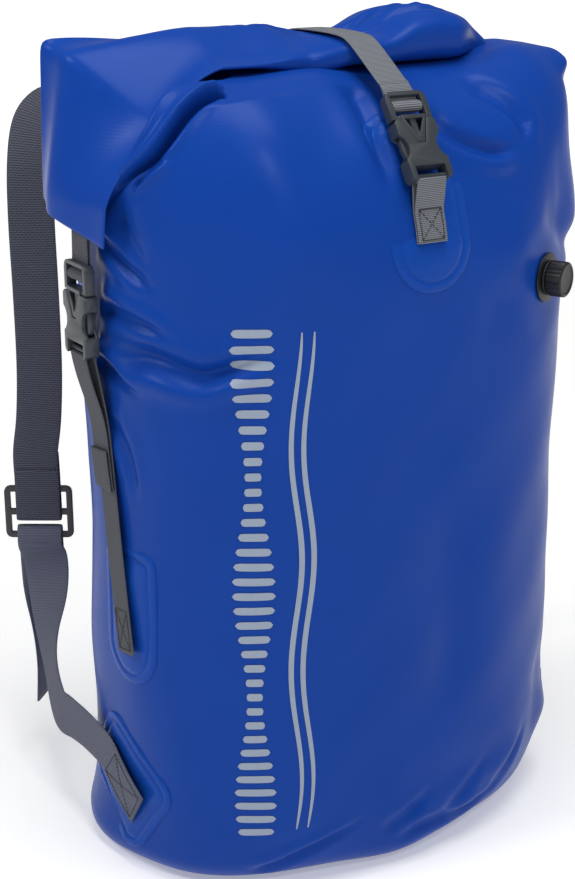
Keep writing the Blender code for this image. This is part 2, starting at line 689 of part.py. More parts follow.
def prong_mesh(hand):
    """One sprung prong, drawn from its root: a slim arm that swells to the button in the side window."""
    arm = PRONG_ARM / 2
    shoulder = WINDOW_END - FIT - PRONG_ROOT
    tip = PRONG_TIP - PRONG_ROOT
    low = WINDOW_START + FIT - PRONG_ROOT
    middle = (shoulder + low) / 2
    outside = [(arm, -CLEARANCE), (arm, shoulder + FIT), (arm + PRONG_STEP, shoulder),
               (arm + PRONG_BULGE, middle), (arm + PRONG_STEP, low + PRONG_STEP), (0.0, tip)]
    inside = [(-arm, tip + PRONG_ARM), (-arm, -CLEARANCE)]
    outline = [(hand * x, y) for x, y in outside + inside]
    low_face = POCKET_BOTTOM + FIT - (POCKET_BOTTOM + POCKET_TOP) / 2
    body = prism(outline, low_face, -low_face)
    return combined("buckle_prong", body)


class Seat:
    """Where a buckle lies: a point and a direction in the plane through the middle of a side."""

    def __init__(self, side, reach, height, direction, sideways=0.0):
        self.side = side
        self.origin = np.array((reach, height))
        self.along = np.array(direction) / np.hypot(*direction)
        self.out = np.array((self.along[1], -self.along[0]))
        self.sideways = sideways

    def spot(self, along, out):
        """Reach and height of points given along and out of the buckle."""
        along, out = np.broadcast_arrays(np.asarray(along, float), np.asarray(out, float))
        return self.origin + along[..., None] * self.along + out[..., None] * self.out

    def local(self, spot):
        """Distances along and out of the buckle of a point given as reach and height."""
        away = np.asarray(spot) - self.origin
        return np.array((away @ self.along, away @ self.out))

    def matrix(self):
        """World matrix of the buckle's across, along and out directions."""
        side = self.side
        along = side.outward * self.along[0] + np.array(UP) * self.along[1]
        out = side.outward * self.out[0] + np.array(UP) * self.out[1]
        matrix = Matrix(np.column_stack([side.sideways, along, out]).tolist()).to_4x4()
        matrix.translation = Vector(side.place(self.origin[0], self.sideways, self.origin[1]))
        return matrix


def buckle(prefix, seat, meshes, material):
    """One buckle on its empty: socket, plug and two prongs whose origins are on their hinge lines."""
    empty = place_empty(prefix, seat.matrix())
    socket, plug, prongs = meshes
    link(prefix + "_socket", socket, material, empty)
    link(prefix + "_plug", plug, material, empty)
    level = (POCKET_BOTTOM + POCKET_TOP) / 2
    for word, hand in (("left", -1.0), ("right", 1.0)):
        place = (hand * PRONG_OUT, PRONG_ROOT, level)
        link(prefix + "_prong_" + word, prongs[hand], material, empty, place)


# Closure strap, tab and their patches


def layer_path(seat, wrap):
    """Webbing through the plug's ladder: in under the top bar, over the ladder bar and back out beneath."""
    ring = BAR_RADIUS + CLEARANCE + WEBBING_THICKNESS / 2
    upper = -CLEARANCE - WEBBING_THICKNESS / 2
    lower = upper - WEBBING_LAYER
    entry = PLUG_END + LADDER_ENTRY
    standing = [(entry, upper), (LADDER_BAR + 2.4 * ring, upper), (LADDER_BAR + 1.5 * ring, 0.4 * upper)]
    over = turn_points((LADDER_BAR, 0.0), ring, *LADDER_WRAP, 10).tolist()
    back = [(LADDER_BAR - 0.55 * ring, lower - 0.1 * ring), (LADDER_BAR + 0.6 * ring, lower), (entry, lower)]
    back.append((PLUG_END + wrap, lower))
    path = np.array(standing + over + back)
    return seat.spot(path[:, 0], path[:, 1])


def touch_angle(centre, radius, point, side):
    """Angle, in degrees, where a taut line from a point meets a round bar, on one side of it."""
    away = np.asarray(point) - centre
    return math.degrees(math.atan2(away[1], away[0]) + side * math.acos(radius / np.hypot(*away)))


def bar_loop(seat, behind, front):
    """Webbing round the socket's bar, from a point behind it, through the slot and out to one in front."""
    ring = BAR_RADIUS + CLEARANCE + WEBBING_THICKNESS / 2
    centre = np.array((BAR_INSET, 0.0))
    start = touch_angle(centre, ring, seat.local(behind), 1.0)
    end = touch_angle(centre, ring, seat.local(front), -1.0)
    arc = turn_points(centre, ring, start, end, 11)
    return seat.spot(arc[:, 0], arc[:, 1])


def planar_band(name, side, spots, material, lean=None):
    """A band of closure webbing whose middle line is given as reach and height."""
    spots = np.asarray(spots)
    shift = np.zeros(len(spots)) if lean is None else lean(spots[:, 1])
    middles = side.place(spots[:, 0], shift, spots[:, 1])
    return band(name, middles, side.sideways, WEBBING_WIDTH, WEBBING_THICKNESS, material)


def wall_line(side, heights, lift):
    """Reach and height of a line up the middle of a side, lifted off the wall."""
    points = side.on_wall(np.zeros(len(heights)), np.asarray(heights, float), lift)
    return np.stack([points @ side.outward, points[:, 2]], axis=1)


def front_seat():
    """The front buckle lies along the wall at its own height."""
    slope = FRONT.slope(FRONT_BUCKLE_HEIGHT)
    lift = FRONT_BUCKLE_STANDOFF + BUCKLE_THICKNESS / 2
    middle = wall_line(FRONT, [FRONT_BUCKLE_HEIGHT], lift)[0]
    direction = np.array((slope, 1.0)) / math.hypot(slope, 1.0)
    start = middle - direction * (SOCKET_LENGTH + PLUG_LENGTH) / 2
    return Seat(FRONT, start[0], start[1], direction)


def upper_hull(points):
    """The taut line over a set of points, from the first reach to the last."""
    hull = []
    for point in sorted(map(tuple, points)):
        while len(hull) > 1 and turn_of(hull[-2], hull[-1], point) >= 0.0:
            hull.pop()
        hull.append(point)
    return np.array(hull)


def turn_of(first, second, third):
    """Positive where three points turn to the left."""
    return ((second[0] - first[0]) * (third[1] - first[1]) - (second[1] - first[1]) * (third[0] - first[0]))


def closure_strap(seat, material):
    """The strap from the back patch, drawn tight over the roll and down into the front buckle's plug."""
    lift = CLEARANCE + WEBBING_THICKNESS / 2
    sewn = PATCH_LIFT + lift
    ladder = layer_path(seat, STRAP_TAIL_LENGTH)
    pressed = (ROLL_THICKNESS - PINCH_DEPTH) / 2
    top = BODY_HEIGHT + CLEARANCE + pressed
    across, upward = flat_oval(32)
    roll = np.stack([across * (ROLL_WIDTH / 2 + lift), top + upward * (pressed + lift)], axis=1)
    heights = np.linspace(BACK_STRAP_HEIGHT, BODY_HEIGHT - STRAP_BELOW_ROLL, 12)
    back = wall_line(BACK, heights, sewn) * (-1.0, 1.0)
    taut = upper_hull(np.vstack([back, roll, ladder[:1]]))[::-1]
    behind = taut[taut[:, 0] < -ROLL_WIDTH / 4]
    spots = np.vstack([ladder[::-1][:-1], taut[:-len(behind)], behind])
    return planar_band("closure_strap", FRONT, spots, material)


def front_tab(seat, material):
    """The short doubled strap of the front buckle's socket, sewn to its patch."""
    base = PATCH_LIFT + CLEARANCE + WEBBING_THICKNESS / 2
    heights = np.linspace(FRONT_TAB_HEIGHT, (FRONT_TAB_HEIGHT + seat.origin[1]) / 2, 3)
    under = wall_line(FRONT, heights, base)
    over = wall_line(FRONT, heights[::-1], base + WEBBING_LAYER)
    loop = bar_loop(seat, under[-1], over[0])
    return planar_band("front_tab", FRONT, np.vstack([under, loop, over]), material)


# Side webbing


def side_seat(side):
    """A side buckle hangs straight down under the end of the wing."""
    layers = 1.5 * WEBBING_THICKNESS + CLEARANCE + CLEARANCE / 2
    reach = BAG_WIDTH / 2 + WING_GAP + WING_THICKNESS / 2 + layers - WEBBING_THICKNESS / 2
    return Seat(side, reach, WING_END_HEIGHT - SIDE_BUCKLE_DROP - SOCKET_LENGTH - PLUG_LENGTH, (0.0, 1.0))


def side_webbing(word, side, hand, seat, material):
    """The tab sewn into the wing, and the long strap from the socket's bar down to the side patch."""
    insert = WING_END_HEIGHT + TAB_INSERT
    ladder = layer_path(seat, insert - seat.origin[1] - PLUG_END)
    start = np.array([[ladder[0, 0], insert]])
    planar_band("collar_tab_" + word, side, np.vstack([start, ladder]), material)
    base = PATCH_LIFT + CLEARANCE + WEBBING_THICKNESS / 2
    heights = np.linspace(SIDE_STRAP_HEIGHT, SIDE_STRAP_LEAVES, 9)
    standing = wall_line(side, heights, base)
    bottom = SIDE_TAIL_HEIGHT
    tail_heights = np.linspace(SIDE_STRAP_LEAVES, bottom, 5)
    tail = wall_line(side, tail_heights, base + WEBBING_LAYER)
    fold = turn_points((tail[-1, 0] + WEBBING_LAYER / 2, bottom), WEBBING_LAYER / 2, 180.0, 360.0, 7)[1:]
    stop = wall_line(side, np.linspace(bottom, bottom + SIDE_TAIL_FOLD, 3)[1:], base + 2 * WEBBING_LAYER)
    loop = bar_loop(seat, standing[-1], tail[0])
    spots = np.vstack([standing, loop, tail, fold, stop])
    level = seat.origin[1]

    def lean(height):
        """How far the strap has wandered towards the front at a height."""
        share = np.clip((level - height) / (level - SIDE_STRAP_HEIGHT), 0.0, 1.0)
        return -hand * SIDE_STRAP_LEAN * share**SIDE_LEAN_POWER

    planar_band("side_strap_" + word, side, spots, material, lean)


# Shoulder straps


def slider_mesh():
    """A slide adjuster: a rounded frame with a middle bar, drawn across, up and out."""
    half_width, half_height = SLIDER_WIDTH / 2, SLIDER_HEIGHT / 2
    corner = SLIDER_RAIL
    arc = [(half_width - corner + corner * math.cos(turn), half_height - corner + corner * math.sin(turn))
           for turn in np.linspace(0.0, math.pi / 2, 4)]
    half = [(x, -y) for x, y in reversed(arc)] + arc
    frame = prism(mirrored_outline(half), -SLIDER_THICKNESS / 2, SLIDER_THICKNESS / 2)
    inner = half_width - SLIDER_RAIL
    bar = SLIDER_RAIL / 2
    cuts = [block((-inner, low, -SLIDER_THICKNESS), (inner, high, SLIDER_THICKNESS))
            for low, high in ((bar, half_height - SLIDER_RAIL), (SLIDER_RAIL - half_height, -bar))]
    return combined("slide_adjuster", frame, cuts)


class Hanger:
    """Where a slide adjuster hangs: the middle of its bar, and its across and outward directions."""

    def __init__(self, hand):
        turn = math.radians(SLIDER_TURN)
        self.middle = np.array((hand * SLIDER_OUT, SLIDER_BACK, SLIDER_LIFT))
        self.across = np.array((-hand * math.cos(turn), -math.sin(turn), 0.0))
        self.out = np.array((hand * math.sin(turn), -math.cos(turn), 0.0))
        self.lift = (SLIDER_THICKNESS + SHOULDER_WEBBING_THICKNESS) / 2 + CLEARANCE

    def near(self, along, outward):
        """A point up and out from the middle bar."""
        return self.middle + along * np.array(UP) + outward * self.out

    def loop(self, height, wrap):
        """Webbing round a bar at a height, between two angles."""
        corner = math.hypot(SLIDER_RAIL / 2, SLIDER_THICKNESS / 2)
        turns = turn_points((0.0, height), corner + CLEARANCE + SHOULDER_WEBBING_THICKNESS / 2, *wrap, 9)
        return np.array([self.near(along, outward) for outward, along in turns])

    def matrix(self):
        """World matrix of the slide adjuster's across, up and out directions."""
        up = np.array(UP)
        matrix = Matrix(np.column_stack([np.cross(up, self.out), up, self.out]).tolist()).to_4x4()
        matrix.translation = Vector(self.middle)
        return matrix


def free_points(route, hand):
    """Points of a strap's free run from its shares of the bag's half width, half depth and height."""
    return np.array(route) * (hand * BAG_WIDTH / 2, BAG_DEPTH / 2, BODY_HEIGHT)


def upper_webbing(word, hand, hanger, material):
    """From the upper patch up and round to the slide adjuster's middle bar, and sewn back on itself."""
    rail = SLIDER_HEIGHT / 2
    out = -hand * UPPER_PATCH_OUT
    low, high = (UPPER_PATCH_HEIGHT + share * UPPER_PATCH_LENGTH for share in UPPER_SEWN_SHARES)
    lift = PATCH_LIFT + SHOULDER_SEWN_GAP + SHOULDER_WEBBING_THICKNESS / 2
    sewn = BACK.on_wall(np.full(4, out), np.linspace(low, high, 4), lift)
    hung = [hanger.near(rail + STRAP_CLOSES, 0.5 * hanger.lift),
            hanger.near(rail + STRAP_LEAVES, hanger.lift)]
    free = np.vstack([sewn[-1:], free_points(UPPER_ROUTE, hand), hung])
    run = np.vstack([sewn[:-1], curve_through(free, 3)])
    sewn_back = np.array([hanger.near(rail, -hanger.lift), hanger.near(rail + STRAP_LEAVES, -hanger.lift),
                          hanger.near(rail + STRAP_SEWN_BACK, 0.5 * hanger.lift - SHOULDER_LAYER)])
    middles = np.vstack([run, hanger.loop(0.0, UPPER_WRAP), sewn_back])
    share = np.clip((np.arange(len(middles)) - len(sewn)) / (len(run) - len(sewn) - 6), 0.0, 1.0)[:, None]
    level = BACK.along_wall(out, high, hand, 0.0)
    sideways = level / np.linalg.norm(level) * (1.0 - share) + hanger.across * share
    band("shoulder_strap_upper_" + word, middles, sideways, SHOULDER_WEBBING_WIDTH,
         SHOULDER_WEBBING_THICKNESS, material)


def lower_webbing(word, side, hand, hanger, material):
    """From a loose tail round the slide adjuster's low bar and down to the lower patch, with a turn."""
    low_bar = (SLIDER_RAIL - SLIDER_HEIGHT) / 2
    turn = math.radians(LOWER_PATCH_TURN)
    tab = np.linspace(0.5, -0.5, 7) * LOWER_TAB_LENGTH
    tab_sideways = hand * (tab * math.sin(turn) - LOWER_PATCH_FORWARD)
    tab_heights = LOWER_PATCH_HEIGHT + tab * math.cos(turn)
    lift = PATCH_LIFT + SHOULDER_SEWN_GAP + SHOULDER_WEBBING_THICKNESS / 2
    sewn = side.on_wall(tab_sideways, tab_heights, lift)
    leaving = hanger.near(low_bar - STRAP_LEAVES, hanger.lift)
    loose = curve_through(np.vstack([[leaving], free_points(LOWER_ROUTE, hand), sewn[:1]]), 3)
    drops = ((STRAP_LEAVES, CLEARANCE), (SHOULDER_TAIL / 2, TAIL_STANDS_OFF / 2),
             (SHOULDER_TAIL, TAIL_STANDS_OFF))
    tail = curve_through([hanger.near(low_bar - drop, -hanger.lift - out_by) for drop, out_by in drops], 3)
    loop = hanger.loop(low_bar, LOWER_WRAP)
    middles = np.vstack([tail[::-1], loop[::-1], loose, sewn[1:]])
    flat = side.along_wall(tab_sideways, tab_heights, -hand * math.cos(turn), math.sin(turn))
    flat /= np.linalg.norm(flat, axis=1, keepdims=True)
    start = len(tail) + len(loop) + 3
    share = eased((np.arange(len(middles)) - start) / (len(loose) - 4))[:, None]
    level = np.vstack([np.broadcast_to(flat[0], (len(middles) - len(flat), 3)), flat])
    sideways = hanger.across * (1.0 - share) + level * share
    band("shoulder_strap_lower_" + word, middles, sideways, SHOULDER_WEBBING_WIDTH,
         SHOULDER_WEBBING_THICKNESS, material)


def shoulder_strap(word, side, hand, slider, materials):
    """One shoulder strap: its upper webbing, slide adjuster and lower webbing, with the patches."""
    hanger = Hanger(hand)
    upper_webbing(word, hand, hanger, materials["shoulder"])
    empty = place_empty("slide_adjuster_" + word, hanger.matrix())
    link("slide_adjuster_" + word, slider, materials["slider"], empty)
    lower_webbing(word, side, hand, hanger, materials["shoulder"])
    patch("upper_strap_patch_" + word, BACK, -hand * UPPER_PATCH_OUT, UPPER_PATCH_HEIGHT, UPPER_PATCH_WIDTH,
          UPPER_PATCH_LENGTH, PATCH_CORNER, PATCH_CORNER, 0.0, materials["bag"])
    turn = math.radians(LOWER_PATCH_TURN)
    lower_side = -hand * (LOWER_PATCH_FORWARD + LOWER_PATCH_LENGTH / 2 * math.sin(turn))
    lower_height = LOWER_PATCH_HEIGHT - LOWER_PATCH_LENGTH / 2 * math.cos(turn)
    patch("lower_strap_patch_" + word, side, lower_side, lower_height, LOWER_PATCH_WIDTH, LOWER_PATCH_LENGTH,
          PATCH_CORNER, PATCH_CORNER, -hand * LOWER_PATCH_TURN, materials["bag"])


# Purge valve, turned round its own axis


def turned(name, profile, material, parent, facets=ROUND_FACETS, ribs=0.0):
    """A turned solid from a closed profile of radius and depth; ribbed points carry a third value."""
    points = []
    for step in range(facets):
        angle = 2 * math.pi * step / facets
        for entry in profile:
            radius = entry[0] + (ribs if len(entry) > 2 and step % 2 else 0.0)
            points.append((radius * math.cos(angle), radius * math.sin(angle), entry[1]))
    count = len(profile)
    faces = []
    for step in range(facets):
        after = (step + 1) % facets
        for corner in range(count):
            follow = (corner + 1) % count
            if profile[corner][0] == 0.0 and profile[follow][0] == 0.0:
                continue
            faces.append([step * count + corner, step * count + follow,
                          after * count + follow, after * count + corner])
    mesh = bpy.data.meshes.new(name)
    mesh.from_pydata(points, [], faces)
    shell = bmesh.new()
    shell.from_mesh(mesh)
    bmesh.ops.remove_doubles(shell, verts=shell.verts, dist=1e-6)
    bmesh.ops.recalc_face_normals(shell, faces=shell.faces)
    shell.to_mesh(mesh)
    shell.free()
    return link(name, smooth_shaded(mesh), material, parent)


def valve_matrix():
    """World matrix of the valve, square to the wall at its angle and height."""
    angle = math.radians(VALVE_ANGLE)
    width, depth = half_sizes(VALVE_HEIGHT)
    x, y = plan_point(angle, width, depth)
    around = (np.array(plan_point(angle + PROBE_TURN, width, depth))
              - plan_point(angle - PROBE_TURN, width, depth))
    upward = np.array((x, y)) - plan_point(angle, *half_sizes(VALVE_HEIGHT - PROBE))
    normal = np.cross((*around, 0.0), (*upward, PROBE))
    normal /= np.linalg.norm(normal)
    sideways = np.cross(UP, normal)
    sideways /= np.linalg.norm(sideways)
    matrix = Matrix(np.column_stack([sideways, np.cross(normal, sideways), normal]).tolist()).to_4x4()
    matrix.translation = Vector((float(x), float(y), VALVE_HEIGHT))
    return matrix


def valve_hole(wall, empty):
    """The round hole in the wall that the stem passes through."""
    hole, reach = VALVE_HOLE / 2, VALVE_CUTTER_REACH
    profile = [(hole, reach), (hole, -reach), (0.0, -reach), (0.0, reach)]
    cutter = turned("valve_hole_cutter", profile, None, empty)
    cutter.hide_render = True
    cutter.display_type = "WIRE"
    modifier = wall.modifiers.new("valve hole", "BOOLEAN")
    modifier.operation = "DIFFERENCE"
    modifier.object = cutter


def washer(name, inside, outside, low, high, material, empty):
    """A flat ring, or a disc where the inside is zero."""
    return turned(name, [(inside, high), (outside, high), (outside, low), (inside, low)], material, empty)


def purge_valve(wall, materials):
    """The screw-down air valve: stem and flange, inner nut, gasket, flap, and a ribbed cap with its seal."""
    empty = place_empty("valve", valve_matrix())
    valve_hole(wall, empty)
    valve, rubber = materials["valve"], materials["rubber"]
    stem, bore, flange = VALVE_STEM / 2, VALVE_BORE / 2, VALVE_FLANGE / 2
    flange_top = CLEARANCE + VALVE_FLANGE_THICKNESS
    turned("valve_stem", [(bore, VALVE_STEM_RISE), (stem, VALVE_STEM_RISE), (stem, flange_top),
                          (flange, flange_top - CLEARANCE), (flange, CLEARANCE), (stem, CLEARANCE),
                          (stem, -VALVE_STEM_DEPTH), (bore, -VALVE_STEM_DEPTH)], valve, empty)
    nut_low = -VALVE_NUT_DEPTH - VALVE_NUT_THICKNESS
    washer("valve_nut", stem + CLEARANCE, VALVE_NUT / 2, nut_low, -VALVE_NUT_DEPTH, valve, empty)
    flap_low = VALVE_STEM_RISE / 2
    washer("valve_flap", 0.0, bore - CLEARANCE, flap_low, flap_low + VALVE_FLAP_THICKNESS, rubber, empty)
    gasket_low = flange_top + CLEARANCE
    gasket_high = gasket_low + VALVE_SEAL_THICKNESS
    washer("valve_gasket", stem + CLEARANCE, VALVE_CAP / 2, gasket_low, gasket_high, rubber, empty)
    inside = VALVE_CAP / 2 - VALVE_CAP_WALL
    seal_low = VALVE_STEM_RISE + CLEARANCE
    seal_high = seal_low + VALVE_SEAL_THICKNESS
    washer("valve_seal", 0.0, inside - CLEARANCE, seal_low, seal_high, rubber, empty)
    low = gasket_high + CLEARANCE
    top = low + VALVE_CAP_HEIGHT
    roof = seal_high + CLEARANCE
    edge = VALVE_RIB_DEPTH
    outside = VALVE_CAP / 2 - edge
    turned("valve_cap", [(0.0, top - edge), (outside - 3 * edge, top - edge), (outside - 2 * edge, top),
                         (outside - edge, top), (outside, top - edge, 1), (outside, low + edge, 1),
                         (outside - edge, low), (inside, low), (inside, roof), (0.0, roof)],
           valve, empty, 2 * VALVE_CAP_RIBS, edge)


def main():
    """Build every piece of the bag."""
    clear_scene()
    materials = {
        "bag": make_material("blue_coated_fabric", (0.013, 0.062, 0.34), 0.42),
        "webbing": make_material("grey_webbing", (0.16, 0.16, 0.18), 0.85),
        "shoulder": make_material("dark_webbing", (0.045, 0.048, 0.065), 0.85),
        "buckle": make_material("grey_acetal", (0.12, 0.13, 0.15), 0.45),
        "slider": make_material("black_acetal", (0.025, 0.027, 0.03), 0.45),
        "valve": make_material("black_nylon", (0.012, 0.013, 0.014), 0.5),
        "rubber": make_material("black_rubber", (0.02, 0.02, 0.02), 0.8),
        "stiffener": make_material("natural_polyethylene", (0.55, 0.57, 0.58), 0.5),
    }
    wall = bag_wall(materials["bag"])
    base_panel(materials["bag"])
    rolled_collar(materials["bag"])
    mouth_stiffeners(materials["stiffener"])
    meshes = (socket_mesh(), plug_mesh(), {hand: prong_mesh(hand) for hand in (-1.0, 1.0)})
    seat = front_seat()
    buckle("front_buckle", seat, meshes, materials["buckle"])
    closure_strap(seat, materials["webbing"])
    front_tab(seat, materials["webbing"])
    patch("front_patch", FRONT, 0.0, FRONT_PATCH_HEIGHT, FRONT_PATCH_WIDTH, FRONT_PATCH_LENGTH,
          FRONT_PATCH_WIDTH / 2, PATCH_CORNER, 0.0, materials["bag"])
    patch("back_patch", BACK, 0.0, BACK_PATCH_HEIGHT, BACK_PATCH_WIDTH, BACK_PATCH_LENGTH,
          BACK_PATCH_WIDTH / 2, PATCH_CORNER, 0.0, materials["bag"])
    slider = slider_mesh()
    for word, (side, hand) in SIDES.items():
        place = side_seat(side)
        buckle("side_buckle_" + word, place, meshes, materials["buckle"])
        side_webbing(word, side, hand, place, materials["webbing"])
        patch("side_patch_" + word, side, -hand * SIDE_STRAP_LEAN, SIDE_PATCH_HEIGHT, SIDE_PATCH_WIDTH,
              SIDE_PATCH_LENGTH, SIDE_PATCH_WIDTH / 2, PATCH_CORNER, 0.0, materials["bag"])
        shoulder_strap(word, side, hand, slider, materials)
    purge_valve(wall, materials)


main()
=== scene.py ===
# %% [markdown]
# # A roll-top dry bag, dressed
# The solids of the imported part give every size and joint. This script keeps them as the frame and puts the
# looks around them: folded fabric, woven webbing, stitches and moulded buckles. Lengths are in metres,
# unless a name ends in _MM. The bag stands on Z = 0 and its front looks along -Y.

import json

import bmesh
import bpy
import numpy as np
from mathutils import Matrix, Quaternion, Vector

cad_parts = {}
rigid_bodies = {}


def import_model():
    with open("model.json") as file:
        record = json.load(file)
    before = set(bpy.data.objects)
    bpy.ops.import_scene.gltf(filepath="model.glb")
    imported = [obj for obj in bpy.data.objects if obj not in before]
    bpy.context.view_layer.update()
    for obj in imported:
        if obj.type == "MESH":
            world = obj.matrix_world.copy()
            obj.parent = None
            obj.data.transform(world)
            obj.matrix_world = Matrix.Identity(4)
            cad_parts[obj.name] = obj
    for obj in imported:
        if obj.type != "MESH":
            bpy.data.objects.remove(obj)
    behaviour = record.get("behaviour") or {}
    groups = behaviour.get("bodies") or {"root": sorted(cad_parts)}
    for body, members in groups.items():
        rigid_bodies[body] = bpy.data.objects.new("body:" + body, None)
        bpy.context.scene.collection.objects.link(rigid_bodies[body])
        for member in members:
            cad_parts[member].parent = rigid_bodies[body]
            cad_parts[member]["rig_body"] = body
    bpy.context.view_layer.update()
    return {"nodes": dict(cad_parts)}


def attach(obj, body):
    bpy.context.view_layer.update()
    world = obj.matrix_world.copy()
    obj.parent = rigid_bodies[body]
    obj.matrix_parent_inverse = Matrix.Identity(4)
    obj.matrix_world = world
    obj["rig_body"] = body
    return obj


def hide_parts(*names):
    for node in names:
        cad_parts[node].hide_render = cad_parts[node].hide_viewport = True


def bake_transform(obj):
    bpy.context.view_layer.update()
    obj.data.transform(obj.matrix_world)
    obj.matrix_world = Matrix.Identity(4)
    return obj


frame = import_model()

# %% [markdown]
# ## Meshes from arrays
# Every new piece is a grid of points from a formula, worked out on whole numpy arrays because that is
# quick, and an index array that joins neighbours into quads. A soft switch and a bell shape most formulas.

# %% Grid and mesh helpers
MM = 0.001
scene = bpy.context.scene
SIDES = (("left", -1), ("right", 1))


def grid_faces(rows, columns, closed=False, copies=1):
    """Quads of a rows x columns grid and its copies; closed joins the last column to the first."""
    index = np.arange(rows * columns).reshape(rows, columns)
    left = index if closed else index[:, :-1]
    right = np.roll(index, -1, axis=1) if closed else index[:, 1:]
    quads = np.stack([left[:-1], right[:-1], right[1:], left[1:]], axis=-1).reshape(-1, 4)
    return (quads + rows * columns * np.arange(copies)[:, None, None]).reshape(-1, 4)


def add_object(name, data):
    """A new object at the origin, linked into the scene."""
    thing = bpy.data.objects.new(name, data)
    scene.collection.objects.link(thing)
    return thing


def add_piece(name, points, faces, material, body="root", slot="coated_fabric", uv=None, caps=()):
    """One object from points, quads and end caps, smooth shaded, riding on a body of the frame."""
    mesh = bpy.data.meshes.new(name)
    faces = np.asarray(faces).tolist() + [np.asarray(cap).tolist() for cap in caps]
    mesh.from_pydata(np.asarray(points).reshape(-1, 3), [], faces)
    mesh.shade_smooth()
    if uv is not None:
        corner = np.empty(len(mesh.loops), int)
        mesh.loops.foreach_get("vertex_index", corner)
        layer = mesh.uv_layers.new(name="along_across")
        layer.data.foreach_set("uv", np.asarray(uv, np.float32).reshape(-1, 2)[corner].ravel())
    mesh.validate()
    mesh.materials.append(material)
    piece = add_object(name, mesh)
    if body:
        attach(piece, body)
    return piece


def add_tube(name, rings, material, flip=False, both_ends=False, **settings):
    """A piece from rings of points, capped on its last ring or at both ends; flip turns its faces round."""
    rows, columns = rings.shape[:2]
    faces, ring = grid_faces(rows, columns, closed=True), np.arange(columns)
    caps = [ring[::-1]] * both_ends + [ring + (rows - 1) * columns]
    if flip:
        faces, caps = faces[:, ::-1], [cap[::-1] for cap in caps]
    return add_piece(name, rings, faces, material, caps=caps, **settings)


def unit(vectors):
    """The same directions with length one."""
    return vectors / np.maximum(np.linalg.norm(vectors, axis=-1, keepdims=True), 1e-12)


def smoothstep(low, high, value):
    """A soft switch from 0 at low to 1 at high."""
    share = np.clip((value - low) / (high - low), 0, 1)
    return share * share * (3 - 2 * share)


def bell(value, middle, reach, power=2):
    """1 at the middle, falling to nothing on both sides; a higher power makes its top flatter."""
    return np.exp(-np.abs((value - middle) / reach) ** power)


def spread(value, power):
    """Sign-keeping power, which squares off a circle into a superellipse."""
    return np.sign(value) * np.abs(value) ** power


def length_along(points):
    """The length passed at each point of a line."""
    steps = np.linalg.norm(np.diff(points, axis=0), axis=1)
    return np.concatenate([[0], np.cumsum(steps)])


def full_turn(count):
    """Angles evenly round a circle."""
    return np.linspace(0, 2 * np.pi, count, endpoint=False)


# %% [markdown]
# ## Materials
# One small function adds a node and links it, and a few more make textures used below, so each material
# reads as a short recipe. Colours are sRGB hex, as a colour picker shows them, turned into linear light.

# %% Colour and node helpers
WAVE_SPACING = 0.314  # between the bands of a wave texture at scale 1


def srgb(text):
    """A hex colour as linear RGBA."""
    value = np.array([int(text[i:i + 2], 16) for i in (1, 3, 5)]) / 255
    linear = np.where(value <= 0.04045, value / 12.92, ((value + 0.055) / 1.055) ** 2.4)
    return (*linear.tolist(), 1)


def add_node(material, kind, links=None, **settings):
    """Adds a node, sets its properties or inputs by name, and links inputs from other sockets."""
    node = material.node_tree.nodes.new(kind)
    for key, value in settings.items():
        if hasattr(node, key):
            setattr(node, key, value)
        else:
            node.inputs[key.replace("_", " ")].default_value = value
    for key, socket in (links or {}).items():
        link(node, key, socket)
    return node


def new_material(name, colour, roughness, specular=0.5):
    """A Principled material with its even values set on the shader's own sockets."""
    material = bpy.data.materials.new(name)
    material.use_nodes = True
    material.diffuse_color = srgb(colour)
    shader = material.node_tree.nodes["Principled BSDF"]
    shader.inputs["Base Color"].default_value = srgb(colour)
    shader.inputs["Roughness"].default_value = roughness
    shader.inputs["Specular IOR Level"].default_value = specular
    return material, shader


def link(node, key, socket):
    """Feeds a node's input from another node's socket."""
    node.id_data.links.new(socket, node.inputs[key])


def object_place(material):
    """The place on the object, in metres."""
    return add_node(material, "ShaderNodeTexCoord").outputs["Object"]


def noise(material, place, scale, detail):
    """Soft clouds, so many to the metre."""
    node = add_node(material, "ShaderNodeTexNoise", {"Vector": place}, Scale=scale, Detail=detail)
    return node.outputs["Fac"]


def wave(material, place, direction, pitch_mm, **settings):
    """Even bands at a pitch."""
    node = add_node(material, "ShaderNodeTexWave", {"Vector": place}, bands_direction=direction,
                    Scale=WAVE_SPACING / (pitch_mm * MM), **settings)
    return node.outputs["Fac"]


def two_tone(material, shader, value, first, second):
    """Colours the shader with a blend of two colours, led by a value."""
    ramp = add_node(material, "ShaderNodeValToRGB", {"Fac": value})
    ramp.color_ramp.elements[0].color = srgb(first)
    ramp.color_ramp.elements[1].color = srgb(second)
    link(shader, "Base Color", ramp.outputs["Color"])
    return ramp.color_ramp


def bumps(material, strength, distance, **heights):
    """Raises the surface by a height; Normal takes the bumps beneath these."""
    node = add_node(material, "ShaderNodeBump", heights, Strength=strength, Distance=distance)
    return node.outputs["Normal"]


# %% [markdown]
# ## Coated fabric
# The bag is polyester cloth with a vinyl coating. One flat blue would look like paint, so soft noises vary
# its colour and gloss, and bump nodes tilt the shading for a grain too fine to model.

# %% Coated fabric
SCRIM_MM = 2.4


